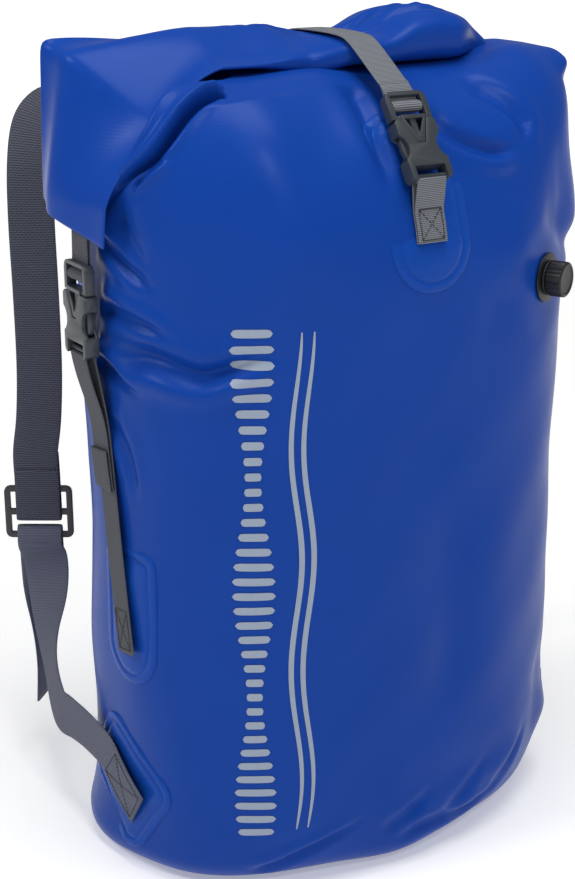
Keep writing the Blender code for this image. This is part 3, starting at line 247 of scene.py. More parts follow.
def coated_fabric(name, deep, pale, roughness):
    """Vinyl-coated polyester: a deep blue, with a faint cloth grain under the coating and soft scuffs.
    The grain breaks highlights into a satin sheen, and the cloudy tint keeps the blue from looking flat."""
    material, shader = new_material(name, deep, roughness, 0.12)
    shader.inputs["Specular Tint"].default_value = srgb("#DCE6FF")
    place = object_place(material)
    two_tone(material, shader, noise(material, place, 14, 3), deep, pale)
    gloss = add_node(material, "ShaderNodeMapRange", {"Value": noise(material, place, 60, 6)},
                     To_Min=roughness - 0.05, To_Max=roughness + 0.07)
    link(shader, "Roughness", gloss.outputs["Result"])
    grain = bumps(material, 0.05, 0.0004, Height=noise(material, place, 1400, 2))
    scrim = wave(material, place, "Z", SCRIM_MM, Distortion=1.5, Detail=2)
    link(shader, "Normal", bumps(material, 0.06, 0.0003, Height=scrim, Normal=grain))
    return material


BAG_BLUE = coated_fabric("vinyl_coated_polyester", "#0F3C94", "#12429E", 0.32)
PATCH_BLUE = coated_fabric("vinyl_patch", "#10409A", "#1448A6", 0.26)
print("fabrics:", BAG_BLUE.name, PATCH_BLUE.name)

# %% [markdown]
# ## Webbing
# The weave tells the eye a strap's size. Each tape has a UV map in metres, so the bands of a wave texture
# follow it round every bend at the true pitch of its ribs.

# %% Webbing
TWILL_SHARE = 0.9


def webbing(name, dark, light, rib_mm, roughness):
    """Woven polyamide tape: ribs across it with a finer twill on the diagonal.
    The ribs give the eye the thread count and the dull, broken highlight of a strap."""
    material, shader = new_material(name, dark, roughness, 0.3)
    place = add_node(material, "ShaderNodeUVMap", uv_map="along_across").outputs["UV"]
    ribs = wave(material, place, "X", rib_mm, Distortion=0.4, Detail_Scale=2)
    twill = wave(material, place, "DIAGONAL", TWILL_SHARE * rib_mm, Distortion=0.6)
    weave = add_node(material, "ShaderNodeMix", {2: ribs, 3: twill}, Factor=0.3).outputs[0]
    two_tone(material, shader, weave, dark, light).elements[1].position = 0.8
    link(shader, "Normal", bumps(material, 0.5, 0.0005, Height=weave))
    return material


CLOSURE_GREY = webbing("grey_polyamide_webbing", "#2B2E33", "#83878F", 1.3, 0.75)
# The side and collar tapes are the same webbing as the closure strap, with painted shade: both tones are
# darker because the bag's sides lie in shade.
SHADED_SIDE_GREY = webbing("grey_webbing_painted_shade", "#303237", "#5C5F66", 1.3, 0.8)
SHOULDER_GREY = webbing("dark_polyamide_webbing", "#262832", "#525562", 1.9, 0.8)
ADJUSTER_GREY = webbing("fine_polyamide_webbing", "#343744", "#6C7082", 1.3, 0.75)
print("webbings: four greys")

# %% [markdown]
# ## Moulded plastics, thread and ink
# These differ in shade and gloss alone, so one recipe serves them. A fine noise in the bumps stands for the
# grain that a mould leaves.

# %% Moulded plastics, thread and ink


def moulded(name, colour, edge, roughness):
    """Injection-moulded plastic: one colour, with a fine spark-eroded grain that softens its highlights."""
    material, shader = new_material(name, colour, roughness)
    place = object_place(material)
    two_tone(material, shader, noise(material, place, 260, 4), colour, edge)
    link(shader, "Normal", bumps(material, 0.12, 0.0003, Height=noise(material, place, 2200, 1)))
    return material


BUCKLE_GREY = moulded("acetal_buckle", "#2E3338", "#3A4046", 0.34)
SLIDER_BLACK = moulded("acetal_slider", "#24262B", "#2E3036", 0.45)
VALVE_BLACK = moulded("nylon_valve", "#0B0C0D", "#141618", 0.45)
RUBBER_BLACK = moulded("black_rubber", "#101112", "#181919", 0.65)
THREAD_GREY = moulded("bonded_thread", "#2A2C31", "#35373D", 0.7)
PRINT_GREY = moulded("screen_print_ink", "#8E9BAF", "#97A4B7", 0.45)
print("materials:", len(bpy.data.materials))

# %% [markdown]
# ## The bag's skin
# The bag is a tube of coated fabric, welded to a flat base and stuffed full. Its plan is a superellipse, an
# oval with squared-off corners. Two lengths on the cloth place anything on it, so that patches and print
# lie on the skin: the girth to the right of the front centre line, and the run up from the base.

# %% Skin formula
HALF_WIDTH = 0.194
HALF_DEPTH = 0.136
BODY_HEIGHT = 0.612
SHOULDER_HEIGHT = 0.455
BASE_RADIUS = 0.024
MOUTH_HALF_WIDTH = 0.18
MOUTH_HALF_DEPTH = 0.028
SQUARENESS = 2.4
SIDE_FULLNESS, FRONT_FULLNESS = 6, 2  # powers of the shoulder's curve, in width and in depth

# The base edge is tucked under along the front, less so near its middle, and sags out on the left.
TUCK_UNDER, TUCK_HEIGHT, TUCK_GIRTH, TUCK_REACH = 0.028, 0.07, 0.05, 0.225
TUCK_EASE, EASE_GIRTH, EASE_REACH = 0.75, -0.01, 0.05
SAG_OUT, SAG_GIRTH, SAG_REACH = 0.017, -0.345, 0.09

# The right end of the mouth stands up as an ear: each pull, and the x and heights between which it sets in.
EAR_PULLS = (((0.006, -0.014, 0.011), (0.05, 0.18), (0.5, 0.6)),
             ((0, 0, -0.005), (0.135, 0.178), (0.54, 0.59)))
TIP_PULL, TIP_GIRTH, TIP_REACH, TIP_HEIGHTS = (0.0085, -0.007, 0), 0.205, 0.02, (0.588, 0.606)

ANGLES = np.linspace(-np.pi, np.pi, 4001)
plan_x = HALF_WIDTH * spread(np.sin(ANGLES), 2 / SQUARENESS)
plan_y = -HALF_DEPTH * spread(np.cos(ANGLES), 2 / SQUARENESS)
GIRTHS = length_along(np.stack([plan_x, plan_y], axis=1))
GIRTHS -= GIRTHS[-1] / 2
HALF_GIRTH = GIRTHS[-1]


def half_sizes(height):
    """Half width and half depth at a height: a round base edge, straight sides and a curved shoulder."""
    low = np.clip(1 - height / BASE_RADIUS, 0, 1)
    inset = BASE_RADIUS * (1 - np.sqrt(1 - low**2))
    rise = np.clip((height - SHOULDER_HEIGHT) / (BODY_HEIGHT - SHOULDER_HEIGHT), 0, 1)
    across, deep = np.sqrt(1 - rise**SIDE_FULLNESS), np.sqrt(1 - rise**FRONT_FULLNESS)
    width = MOUTH_HALF_WIDTH + (HALF_WIDTH - MOUTH_HALF_WIDTH) * across
    depth = MOUTH_HALF_DEPTH + (HALF_DEPTH - MOUTH_HALF_DEPTH) * deep
    return width - inset, depth - inset


quarter_turn = np.linspace(0, np.pi / 2, 400)
HEIGHTS = np.concatenate([
    BASE_RADIUS * (1 - np.cos(quarter_turn)),
    np.linspace(BASE_RADIUS, SHOULDER_HEIGHT, 400)[1:],
    (SHOULDER_HEIGHT + (BODY_HEIGHT - SHOULDER_HEIGHT) * np.sin(quarter_turn))[1:]])
RUNS = length_along(np.stack([HEIGHTS, half_sizes(HEIGHTS)[1]], axis=1))
FULL_RUN = RUNS[-1]


def run_at(height):
    """Run up the cloth at a height on the front centre line."""
    return np.interp(height, HEIGHTS, RUNS)


def wrapped(girth):
    """The same place on the cloth, with its girth between the two ends at the back."""
    return (girth + HALF_GIRTH) % (2 * HALF_GIRTH) - HALF_GIRTH


def smooth_skin(girth, run):
    """The skin before its folds: the plan's superellipse at the run's height. Near the base it shrinks
    where the edge tucks under and grows where it sags, and the mouth's right end is pulled into an ear."""
    girth = wrapped(girth)
    turn = np.interp(girth, GIRTHS, ANGLES)
    height = np.interp(run, RUNS, HEIGHTS)
    width, depth = half_sizes(height)
    x = width * spread(np.sin(turn), 2 / SQUARENESS)
    y = -depth * spread(np.cos(turn), 2 / SQUARENESS)
    under = np.clip(1 - height / TUCK_HEIGHT, 0, 1) ** 2
    ease = 1 - TUCK_EASE * bell(girth, EASE_GIRTH, EASE_REACH)
    tuck = TUCK_UNDER * ease * bell(girth, TUCK_GIRTH, TUCK_REACH, 4)
    sag = SAG_OUT * bell(girth, SAG_GIRTH, SAG_REACH, 4)
    shrink = 1 - under * (tuck - sag) / HALF_WIDTH
    point = np.stack([x * shrink, y * shrink, height], axis=-1)
    for pull, by_x, by_height in EAR_PULLS:
        point = point + (smoothstep(*by_x, x) * smoothstep(*by_height, height))[..., None] * pull
    tip = bell(girth, TIP_GIRTH, TIP_REACH) * smoothstep(*TIP_HEIGHTS, height)
    return point + tip[..., None] * TIP_PULL


print("skin:", round(2 * HALF_GIRTH, 3), "m round,", round(FULL_RUN, 3), "m up the front")

# %% [markdown]
# ## Folds
# Each fold is a line drawn on the cloth, which sinks along it and swells beside it. A negative depth makes
# a bulge. A cloth simulation would not put the creases where this bag has them.

# %% Folds
FOLDS_MM = [
    # width, depth, swell on the left of the line and on its right, fade in, fade out, (girth, height) points
    (4, 17, 0.1, 0.4, 0.05, 0.4, [(-124, 603), (-130, 603), (-141, 601), (-164, 590), (-195, 565),
     (-225, 547), (-250, 528)]),
    (36, -6, 0, 0, 0.05, 0.7, [(-116, 600), (-110, 570), (-106, 500), (-104, 440)]),
    (3, 4, 0.6, 0.2, 0.4, 0.2, [(-180, 568), (-200, 556), (-222, 540)]),
    (6, 4.5, 0.6, 0.3, 0.1, 0.5, [(-268, 503), (-246, 493), (-219, 479), (-196, 474)]),
    (9.5, 8, 0.2, 0.75, 0.3, 0.35, [(-258, 425), (-237, 425), (-209, 424), (-188, 419), (-172, 416),
     (-156, 420), (-139, 426), (-110, 433)]),
    (6.5, 5, 0.6, 0.3, 0.15, 0.4, [(-268, 453), (-248, 452), (-226, 449), (-208, 445), (-188, 438)]),
    (6, 5, 0.7, 0.1, 0.1, 0.5, [(-274, 412), (-255, 408), (-235, 401), (-215, 394)]),
    (14, 4, 0.3, 0.3, 0.2, 0.4, [(-246, 525), (-236, 510), (-223, 493), (-216, 470)]),
    (7, 3, 0.4, 0.5, 0.2, 0.4, [(-262, 375), (-240, 350), (-230, 310)]),
    (9, 7, 0.1, 0.55, 0.2, 0.3, [(26, 590), (38, 574), (55, 563), (78, 555), (104, 553)]),
    (10, 5, 0.4, 0.2, 0.3, 0.25, [(70, 603), (95, 588), (112, 568), (106, 552)]),
    (10, 6, 0, 0.15, 0.15, 0.4, [(-22, 606), (-25, 590), (-27, 572), (-27, 545), (-30, 530)]),
    (14, 3, 0.4, 0.4, 0.25, 0.25, [(120, 505), (165, 480), (210, 470)]),
    (20, 2, 0.4, 0.4, 0.25, 0.25, [(40, 440), (90, 452), (130, 440)]),
    (5, 4, 0.6, 0.1, 0.2, 0.5, [(-150, 12), (-122, 21), (-102, 30), (-66, 45), (-40, 56)]),
    (22, 2.2, 0.4, 0.4, 0.25, 0.25, [(-20, 80), (40, 66), (110, 74)]),
    (6, 3.5, 0.5, 0.3, 0.25, 0.4, [(-30, 22), (10, 30), (60, 28), (115, 40)]),
    (30, 3.5, 0.4, 0.4, 0.3, 0.3, [(20, 330), (30, 220), (24, 110)]),
    (7, 2.6, 0.4, 0.3, 0.2, 0.5, [(-34, 34), (-8, 46), (22, 66)]),
    (7, 2.6, 0.4, 0.3, 0.2, 0.5, [(18, 32), (48, 46), (80, 74)]),
    (7, 2.6, 0.4, 0.3, 0.2, 0.5, [(80, 36), (108, 50), (138, 82)]),
    (18, 2.5, 0.4, 0.4, 0.25, 0.25, [(150, 130), (190, 90), (225, 74)]),
    (42, -10, 0, 0, 0.35, 0.35, [(150, 508), (180, 508), (205, 506), (232, 506), (262, 506)]),
    (34, -6, 0, 0, 0.35, 0.35, [(150, 78), (180, 76), (205, 76), (235, 76), (262, 78)]),
    (45, 7, 0, 0, 0.35, 0.3, [(-345, 330), (-358, 250), (-366, 200), (-370, 150)]),
]
TAPER = 0.5  # how much narrower a fold is at its end
SWELL_PLACE, SWELL_REACH = 2, 1.3  # in widths of the fold

# Slow waves: height, then two sines with their turning per metre of girth and of run, and their start.
WAVES = ((0.0018, (23, 11, 0), (-9, 17, 1.3)), (0.0009, (61, -22, 0.4), (0, 39, 0.9)))
WAVE_LOW, WAVE_SEAM = 0.05, 0.12  # they fade towards the base and the seam at the back

# The left flap of the roll covers the skin, which sinks under it so as not to poke through.
FLAP_EDGE_MM = [(-100, 612), (-166, 605), (-196, 581), (-220, 557), (-248, 531), (-267, 504)]
FLAP_DEPTH, FLAP_INSIDE = 0.022, (-0.003, -0.016)
FLAP_HEIGHTS, FLAP_GIRTHS = (0.505, 0.53), (-0.37, -0.32)

# The cloth stays flat round the valve, which sits on the front right corner.
VALVE_X, VALVE_HEIGHT, VALVE_FLAT = 0.12459, 0.457, (0.02, 0.05)
VALVE_GIRTH = np.interp(np.arcsin((VALVE_X / HALF_WIDTH) ** (SQUARENESS / 2)), ANGLES, GIRTHS)


def smooth_line(points, steps):
    """A Catmull-Rom curve through the points, with the given number of steps between neighbours."""
    points = np.asarray(points, float)
    padded = np.vstack([2 * points[0] - points[1], points, 2 * points[-1] - points[-2]])
    a, b, c, d = padded[:-3, None], padded[1:-2, None], padded[2:-1, None], padded[3:, None]
    share = np.linspace(0, 1, steps, endpoint=False)[None, :, None]
    square, cube = 2 * a - 5 * b + 4 * c - d, 3 * b - a - 3 * c + d
    curve = 0.5 * (2 * b + (c - a) * share + square * share**2 + cube * share**3)
    return np.vstack([curve.reshape(-1, points.shape[1]), points[-1:]])


def along_line(girth, run, points):
    """Signed distance to a drawn line, positive on its left, and the share of its length passed there."""
    line = smooth_line(points, 4) * MM
    line[:, 1] = run_at(line[:, 1])
    before = length_along(line)
    ahead_x, ahead_y = unit(np.diff(line, axis=0)).T
    east, north = girth[..., None] - line[:-1, 0], run[..., None] - line[:-1, 1]
    reach = np.clip(east * ahead_x + north * ahead_y, 0, np.diff(before))
    distance = np.hypot(east - reach * ahead_x, north - reach * ahead_y)
    signed = distance * np.sign(ahead_x * north - ahead_y * east)
    nearest = distance.argmin(axis=-1)[..., None]
    both = np.stack([signed, (before[:-1] + reach) / before[-1]])
    return np.take_along_axis(both, nearest[None], axis=-1)[..., 0]


def relief(girth, run):
    """How far the cloth stands out from the smooth skin: slow waves, and for each fold a bell-shaped hollow
    with a lower bell on both sides. It is flat round the valve and sinks under the roll's flap."""
    girth = wrapped(girth)
    height = np.interp(run, RUNS, HEIGHTS)
    out = 0
    for tall, *sines in WAVES:
        first, second = (np.sin(a * girth + b * run + start) for a, b, start in sines)
        out = out + tall * first * second
    seam = smoothstep(HALF_GIRTH, HALF_GIRTH - WAVE_SEAM, np.abs(girth))
    out = out * smoothstep(0, WAVE_LOW, height) * seam
    for width, depth, left, right, fade_in, fade_out, points in FOLDS_MM:
        distance, share = along_line(girth, run, points)
        fade = smoothstep(0, fade_in, share) * smoothstep(1, 1 - fade_out, share)
        spot = distance / (width * MM * (1 - TAPER * share))
        swells = left * bell(spot, SWELL_PLACE, SWELL_REACH) + right * bell(spot, -SWELL_PLACE, SWELL_REACH)
        out = out + fade * depth * MM * (swells - bell(spot, 0, 1))
    out = out * smoothstep(*VALVE_FLAT, np.hypot(girth - VALVE_GIRTH, height - VALVE_HEIGHT))
    hidden = smoothstep(*FLAP_INSIDE, along_line(girth, run, FLAP_EDGE_MM)[0])
    hidden = hidden * smoothstep(*FLAP_HEIGHTS, height) * smoothstep(*FLAP_GIRTHS, girth)
    return out - FLAP_DEPTH * hidden


def skin(girth, run, lift=0):
    """A point on the folded skin, lifted off it along the smooth skin's outward normal."""
    step = 0.0005
    low = np.clip(run - step, 0, FULL_RUN - 2 * step)
    right = smooth_skin(girth + step, run) - smooth_skin(girth - step, run)
    upward = smooth_skin(girth, low + 2 * step) - smooth_skin(girth, low)
    normal = unit(np.cross(right, upward))
    return smooth_skin(girth, run) + normal * (relief(girth, run) + lift)[..., None]


print("folds:", len(FOLDS_MM))

# %% [markdown]
# ## The bag's body
# The skin is one closed grid, with more lines to the metre where folds need small quads: on the left, on
# the front and near the mouth. A last ring under the roll closes it.

# %% Bag body
GIRTH_STARTS, GIRTH_COUNTS = (-0.285, -0.1, 0.25), (170, 130, 100)
HEIGHT_STARTS, HEIGHT_COUNTS = (0, 0.07, 0.36, 0.5), (30, 38, 58, 113)
MOUTH_CLOSE, MOUTH_RISE = (0.97, 0.4, 1), (0, 0, 0.002)


def stretches(starts, counts, end):
    """Values from the first start up to the end, in stretches that each have their own count."""
    stops = [*starts[1:], end]
    return np.concatenate([np.linspace(*stretch, endpoint=False) for stretch in zip(starts, stops, counts)])


girth_line = wrapped(stretches(GIRTH_STARTS, GIRTH_COUNTS, 2 * HALF_GIRTH + GIRTH_STARTS[0]))
run_line = np.append(stretches(run_at(HEIGHT_STARTS), HEIGHT_COUNTS, FULL_RUN), FULL_RUN)
body_points = skin(*np.meshgrid(girth_line, run_line))
body_points[:, :, 2] = np.maximum(body_points[:, :, 2], 0)
body_points = np.concatenate([body_points, body_points[-1:] * MOUTH_CLOSE + MOUTH_RISE])
bag_body = add_tube("bag_body", body_points, BAG_BLUE)
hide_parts("bag_wall")
print("bag body:", len(bag_body.data.polygons), "faces")

# %% [markdown]
# ## The base
# One flat panel is welded inside the tube's lower edge: rings of the same oval, shrinking to the middle.

# %% Base panel
BASE_RINGS = np.array([1, 0.985, 0.96, 0.95, 0.94, 0.7, 0.4, 0.1])
RIM_POINTS = 180
rim_girths = np.linspace(-HALF_GIRTH, HALF_GIRTH, RIM_POINTS, endpoint=False)
rim = smooth_skin(rim_girths, np.zeros(RIM_POINTS)) * (1, 1, 0)
base = add_tube("base", BASE_RINGS[:, None, None] * rim, BAG_BLUE, flip=True)
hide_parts("base_panel")
print("base panel:", len(base.data.polygons), "faces")

# %% [markdown]
# ## The rolled mouth
# The mouth is rolled down flat, and its ends are pulled down the sides as wings. The roll's middle line
# goes up a wing, round a corner and over the top. Each corner is a quarter of a superellipse: power 2 is
# round, as on the right, a high power is square, as at the left back, and a power below 2 cuts it off, as
# in the left front flap.

# %% Roll
ROLL_WIDTH = 0.094
ROLL_THICKNESS = 0.03
ROLL_CORNER = 0.1
SQUARE_CORNER, CUT_CORNER, ROUND_CORNER = 30, 1.45, 2
FRONT_POWER = 0.7  # how the left corner changes from back to front
WING_THICKNESS = 0.022
WING_END = 0.512
WING_OUT = HALF_WIDTH + 0.002 + WING_THICKNESS / 2
WING_BACKSET = 0.012
WING_SHARE, BEND_SHARE = 0.06, 0.44  # shares of half the roll's length
END_SLANT, SLANT_MIDDLE = 0.011, 0.05

# The left of the roll is thin in front and behind: by what share, and where along it (0 left, 1 right) and
# across it (-1 front, 1 back) this sets in.
LEFT_THIN = ((0.82, (0.46, 0.3), (0.5, -1)), (0.78, (0.5, 0.36), (0.3, 1)))

# Its front edge droops and lies back: the amounts, and the ranges of half, along and edge for it.
EDGE_DROOP, DROOP_HALF, DROOP_ALONG, DROOP_EDGE = 0.0105, (-0.06, 0.26), (0.495, 0.41), (0.6, -1)
EDGE_BACK, BACK_HALF, EDGE_BULGE = 0.016, (0.15, 0.5), 0.001

# The strap's pinch and the lobe on its right, and what x and z do further out.
PINCH_DEPTH, PINCH_REACH = 0.008, 0.034
LOBE_RISE, LOBE_PLACE, LOBE_REACH, LOBE_POWER = 0.009, 0.07, 0.04, 1.4
LOBE_FALL, FALL_X, FALL_Z = 0.022, (0.1, 0.165), (0.52, 0.62)
CORNER_RISE, RISE_X, RISE_Z = 0.007, (-0.09, -0.19), (0.54, 0.62)
WING_FLARE, FLARE_Z = 0.007, (0.6, 0.54)
EAR_NOTCH, NOTCH_Z, NOTCH_REACH = 0.009, 0.59, 0.013
TUCK_BACK, TUCK_X = 0.024, (0.085, 0.125)

# Creases on top, each from (x, edge) to (x, edge) with its depth, and the low rims beside a crease.
ROLL_CREASES = [((0.016, 0.35), (0.098, -0.3), 0.0045), ((0.016, -0.2), (0.105, -0.7), 0.004),
                ((-0.016, 0.1), (-0.085, 0.55), 0.0035)]
CREASE_WIDTH, CREASE_IN, CREASE_OUT = 0.0045, (-0.1, 0.15), (1.05, 0.6)
CREASE_RIM, RIM_PLACE, RIM_REACH = 0.5, 2, 1.2
ALONG, ROUND = 330, 96
SECTION_POWER = 0.62


def roll_half_thickness(along, edge, folded, pinch):
    """Half thickness of the roll: less in the wings, under the strap and on the left."""
    thick = ROLL_THICKNESS + (WING_THICKNESS - ROLL_THICKNESS) * folded
    left = 1
    for share, by_along, by_edge in LEFT_THIN:
        left = left - share * smoothstep(*by_along, along) * smoothstep(*by_edge, edge)
    return thick * left / 2 - PINCH_DEPTH / 2 * pinch


def roll_point(along, edge, above):
    """Point of the roll at a share along it, a place across it and a share of its half thickness: a wing,
    a superellipse corner and the level top, one after another, then the lobe, the creases and the ends."""
    hand = np.where(along < 0.5, -1, 1)
    half = 1 - 2 * np.abs(along - 0.5)
    bent = WING_SHARE + BEND_SHARE
    turn = np.clip((half - WING_SHARE) / BEND_SHARE, 0, 1) * np.pi / 2
    down = np.clip(half / WING_SHARE, 0, 1)
    inward = np.clip((half - bent) / (1 - bent), 0, 1)
    front = np.where(hand < 0, ((1 - edge) / 2) ** FRONT_POWER, 0)
    square, cut, even = ((np.cos(turn) ** power + np.sin(turn) ** power) ** (-1 / power)
                         for power in (SQUARE_CORNER, CUT_CORNER, ROUND_CORNER))
    radius = np.where(hand < 0, square + (cut - square) * front, even)
    droop = smoothstep(*DROOP_HALF, half) * smoothstep(*DROOP_ALONG, along) * smoothstep(*DROOP_EDGE, edge)
    folded = 1 - smoothstep(0, np.pi / 2, turn)
    pinch = bell((2 * along - 1) * HALF_WIDTH, 0, PINCH_REACH, 4)
    reach = ROLL_CORNER + above * roll_half_thickness(along, edge, folded, pinch) - EDGE_DROOP * droop
    x = hand * ((WING_OUT - ROLL_CORNER) * (1 - inward) + reach * radius * np.cos(turn))
    foot = BODY_HEIGHT + ROLL_THICKNESS / 2 - ROLL_CORNER
    end = WING_END + END_SLANT * (edge - SLANT_MIDDLE)
    z = foot + reach * radius * np.sin(turn) - (1 - down) * (foot - end)
    lobe = bell(x, LOBE_PLACE, LOBE_REACH, LOBE_POWER) * (1 - pinch)
    z = z + LOBE_RISE * lobe * (1 + above) / 2 - PINCH_DEPTH / 2 * pinch
    for (x_in, edge_in), (x_out, edge_out), depth in ROLL_CREASES:
        share = (x - x_in) / (x_out - x_in)
        off = (edge - edge_in - share * (edge_out - edge_in)) * ROLL_WIDTH / 2 / CREASE_WIDTH
        hollow = bell(off, 0, 1) - CREASE_RIM * bell(np.abs(off), RIM_PLACE, RIM_REACH)
        fade = smoothstep(*CREASE_IN, share) * smoothstep(*CREASE_OUT, share)
        z = z - depth * hollow * fade * np.clip(above, 0, 1)
    z = z - LOBE_FALL * smoothstep(*FALL_X, x) * smoothstep(*FALL_Z, z)
    z = z + CORNER_RISE * smoothstep(*RISE_X, x) * smoothstep(*RISE_Z, z) * (1 + edge) / 2
    flare = WING_FLARE * smoothstep(*FLARE_Z, z) - EAR_NOTCH * bell(z, NOTCH_Z, NOTCH_REACH)
    x = x + flare * (hand > 0)
    y = edge * ROLL_WIDTH / 2 + WING_BACKSET * folded - EDGE_BULGE * np.sin(2 * turn) * front
    y = y + EDGE_BACK * droop * smoothstep(*BACK_HALF, half)
    y = y + TUCK_BACK * smoothstep(*TUCK_X, x) * (1 - edge) / 2
    return np.stack([x, y, z], axis=-1)


along, around = np.meshgrid(np.linspace(0, 1, ALONG), full_turn(ROUND), indexing="ij")
roll_points = roll_point(along, spread(np.cos(around), SECTION_POWER), spread(np.sin(around), SECTION_POWER))
roll = add_tube("rolled_mouth", roll_points, BAG_BLUE, flip=True, both_ends=True)
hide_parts("rolled_collar", "mouth_stiffener_front", "mouth_stiffener_rear")
print("roll:", len(roll.data.polygons), "faces")

# %% [markdown]
# ## Welded patches
# Each strap is sewn to a patch that is welded to the bag, so no stitch goes through the wall. A patch is a
# stack of rounded outlines, each inside the last and lifted off the skin, with a dip for the groove.

# %% Patches
RIM_INSETS = np.array([0, 0.4, 1.2, 6.2, 7, 7.8, 8.6, 12, 18, 24]) * MM
RIM_LIFTS = np.array([-0.3, 1, 1.5, 1.5, 1.1, 0.6, 1.3, 1.5, 1.5, 1.5]) * MM
INSET_LIMIT = 0.9  # insets stop at this share of half the patch
LEAST_RADIUS = 0.2 * MM
FILL_SHARES = (0.5, 0.05)  # rings that fill the middle
OUTLINE_POINTS = 96


def rounded_outline(width, length, low, high):
    """An upright rounded rectangle round the origin, with corner radii low at the bottom and high on top."""
    turn = full_turn(OUTLINE_POINTS)
    radius = np.where(np.sin(turn) < 0, low, high)
    east = np.sign(np.cos(turn)) * (width / 2 - radius) + radius * np.cos(turn)
    north = np.sign(np.sin(turn)) * (length / 2 - radius) + radius * np.sin(turn)
    return np.stack([east, north], axis=-1)


def add_patch(name, girth, height, size, corners, tilt=0):
    """A patch with its middle at a girth and height, a width and length, a lower and an upper corner radius,
    turned on the cloth by tilt degrees."""
    insets = RIM_INSETS[RIM_INSETS < INSET_LIMIT * min(size) / 2]
    rings = [rounded_outline(*(side - 2 * inset for side in size),
                             *(max(radius - inset, LEAST_RADIUS) for radius in corners)) for inset in insets]
    rings = np.stack(rings + [rings[-1] * share for share in FILL_SHARES])
    lifts = RIM_LIFTS[np.minimum(np.arange(len(rings)), len(insets) - 1)]
    cos, sin = np.cos(np.radians(tilt)), np.sin(np.radians(tilt))
    spot_girth = girth + rings[..., 0] * cos - rings[..., 1] * sin
    spot_run = run_at(height) + rings[..., 0] * sin + rings[..., 1] * cos
    piece = add_tube(name, skin(spot_girth, spot_run, lifts[:, None]), PATCH_BLUE)
    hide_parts(name.replace("welded_", ""))


SIDE_GIRTH = HALF_GIRTH / 2
EVEN_CORNERS = (0.018, 0.018)
LOWER_TILT = 55
add_patch("welded_front_patch", 0.002, 0.53, (0.07, 0.134), (0.034, 0.018))
add_patch("welded_back_patch", HALF_GIRTH, 0.48, (0.076, 0.1), EVEN_CORNERS)
for word, hand in SIDES:
    add_patch("welded_side_patch_" + word, hand * (SIDE_GIRTH - 0.026), 0.219, (0.06, 0.11), (0.029, 0.012))
    add_patch("welded_lower_strap_patch_" + word, hand * (SIDE_GIRTH - 0.01), 0.072, (0.084, 0.094),
              EVEN_CORNERS, -hand * LOWER_TILT)
    add_patch("welded_upper_strap_patch_" + word, hand * (HALF_GIRTH - 0.088), 0.465, (0.072, 0.09),
              EVEN_CORNERS)
print("patches done")

# %% [markdown]
# ## Tapes
# A strap is a flat tape swept along a smooth line through points measured on the bag, and a sideways
# direction at each point sets how it lies or twists. A curve object with a bevel could do this too, but its
# twist and a UV in metres are harder to set.

# %% Tape
POINT_STEPS = 6  # steps of the curve from one point of a route to the next
TAPE_EDGE, TAPE_FACE = 0.25, 0.6  # powers of the section


class Tape:
    """A strap's middle line with its sideways and outward directions, and points on its faces."""

    def __init__(self, route_mm, sideways, section):
        sideways = np.broadcast_to(np.asarray(sideways, float), (len(route_mm), 3))
        both = smooth_line(np.hstack([np.asarray(route_mm, float) * MM, sideways]), POINT_STEPS)
        self.middle = both[:, :3]
        forward = unit(np.gradient(self.middle, axis=0))
        side = both[:, 3:]
        self.side = unit(side - forward * np.sum(side * forward, axis=1, keepdims=True))
        self.out = np.cross(self.side, forward)
        self.length = length_along(self.middle)
        self.width, self.thickness = section

    def at(self, along, across, lift):
        """Points at lengths along the tape and distances across it, at one lift off its outer face."""
        middle, side, out = (
            np.stack([np.interp(along, self.length, line[:, i]) for i in range(3)], axis=-1)
            for line in (self.middle, self.side, self.out))
        return middle + side * np.asarray(across)[..., None] + out * (lift + self.thickness / 2)

    def piece(self, name, material, slot, body="root", count=22):
        """The tape as a closed mesh."""
        turn = full_turn(count)
        across = self.width / 2 * spread(np.cos(turn), TAPE_EDGE)
        lift = self.thickness / 2 * spread(np.sin(turn), TAPE_FACE)
        points = (self.middle[:, None] + self.side[:, None] * across[None, :, None]
                  + self.out[:, None] * lift[None, :, None])
        uv = np.stack(np.broadcast_arrays(self.length[:, None], across[None, :]), axis=-1)
        return add_tube(name, points, material, flip=True, both_ends=True, body=body, slot=slot, uv=uv)


# %% [markdown]
# ## Stitches
# Bonded thread shows as rows of short rounded bars, so copies of one small spindle stand along lines on the
# tape. A box with a cross is the usual way to sew down a loaded strap.

# %% Thread
STITCH_PITCH = 0.003
STITCH_LENGTH = 0.0024
THREAD_RADIUS = 0.00048
THREAD_SIDES = 6
SPINDLE_PLACES = np.array([-0.5, -0.3, 0.3, 0.5])[:, None, None] * STITCH_LENGTH
SPINDLE_SWELL = np.array([0.35, 1, 1, 0.35])[:, None, None] * THREAD_RADIUS
STITCH_LIFT = 0.0001
OUTWARD_STEP = 0.001


def add_stitches(name, lines, body="root"):
    """Short bars of thread along lines, each a pair of end points and the outward direction there."""
    turn = full_turn(THREAD_SIDES)[:, None]
    bars = []
    for start, end, out in lines:
        count = max(2, int(round(np.linalg.norm(end - start) / STITCH_PITCH)))
        middles = start + (end - start) * (np.arange(count)[:, None] + 0.5) / count
        forward = unit(end - start)
        out = unit(out - forward * (out @ forward))
        ring = np.cos(turn) * np.cross(forward, out) + np.sin(turn) * out
        bars.append(middles[:, None, None] + forward * SPINDLE_PLACES + ring * SPINDLE_SWELL)
    bars = np.concatenate(bars)
    count, rows = bars.shape[:2]
    size = rows * THREAD_SIDES
    ends = np.array([range(THREAD_SIDES - 1, -1, -1), range(size - THREAD_SIDES, size)])
    caps = (ends + size * np.arange(count)[:, None, None]).reshape(-1, THREAD_SIDES)
    faces = grid_faces(rows, THREAD_SIDES, closed=True, copies=count)
    add_piece(name, bars, faces, THREAD_GREY, body, "closure_webbing", caps=caps)


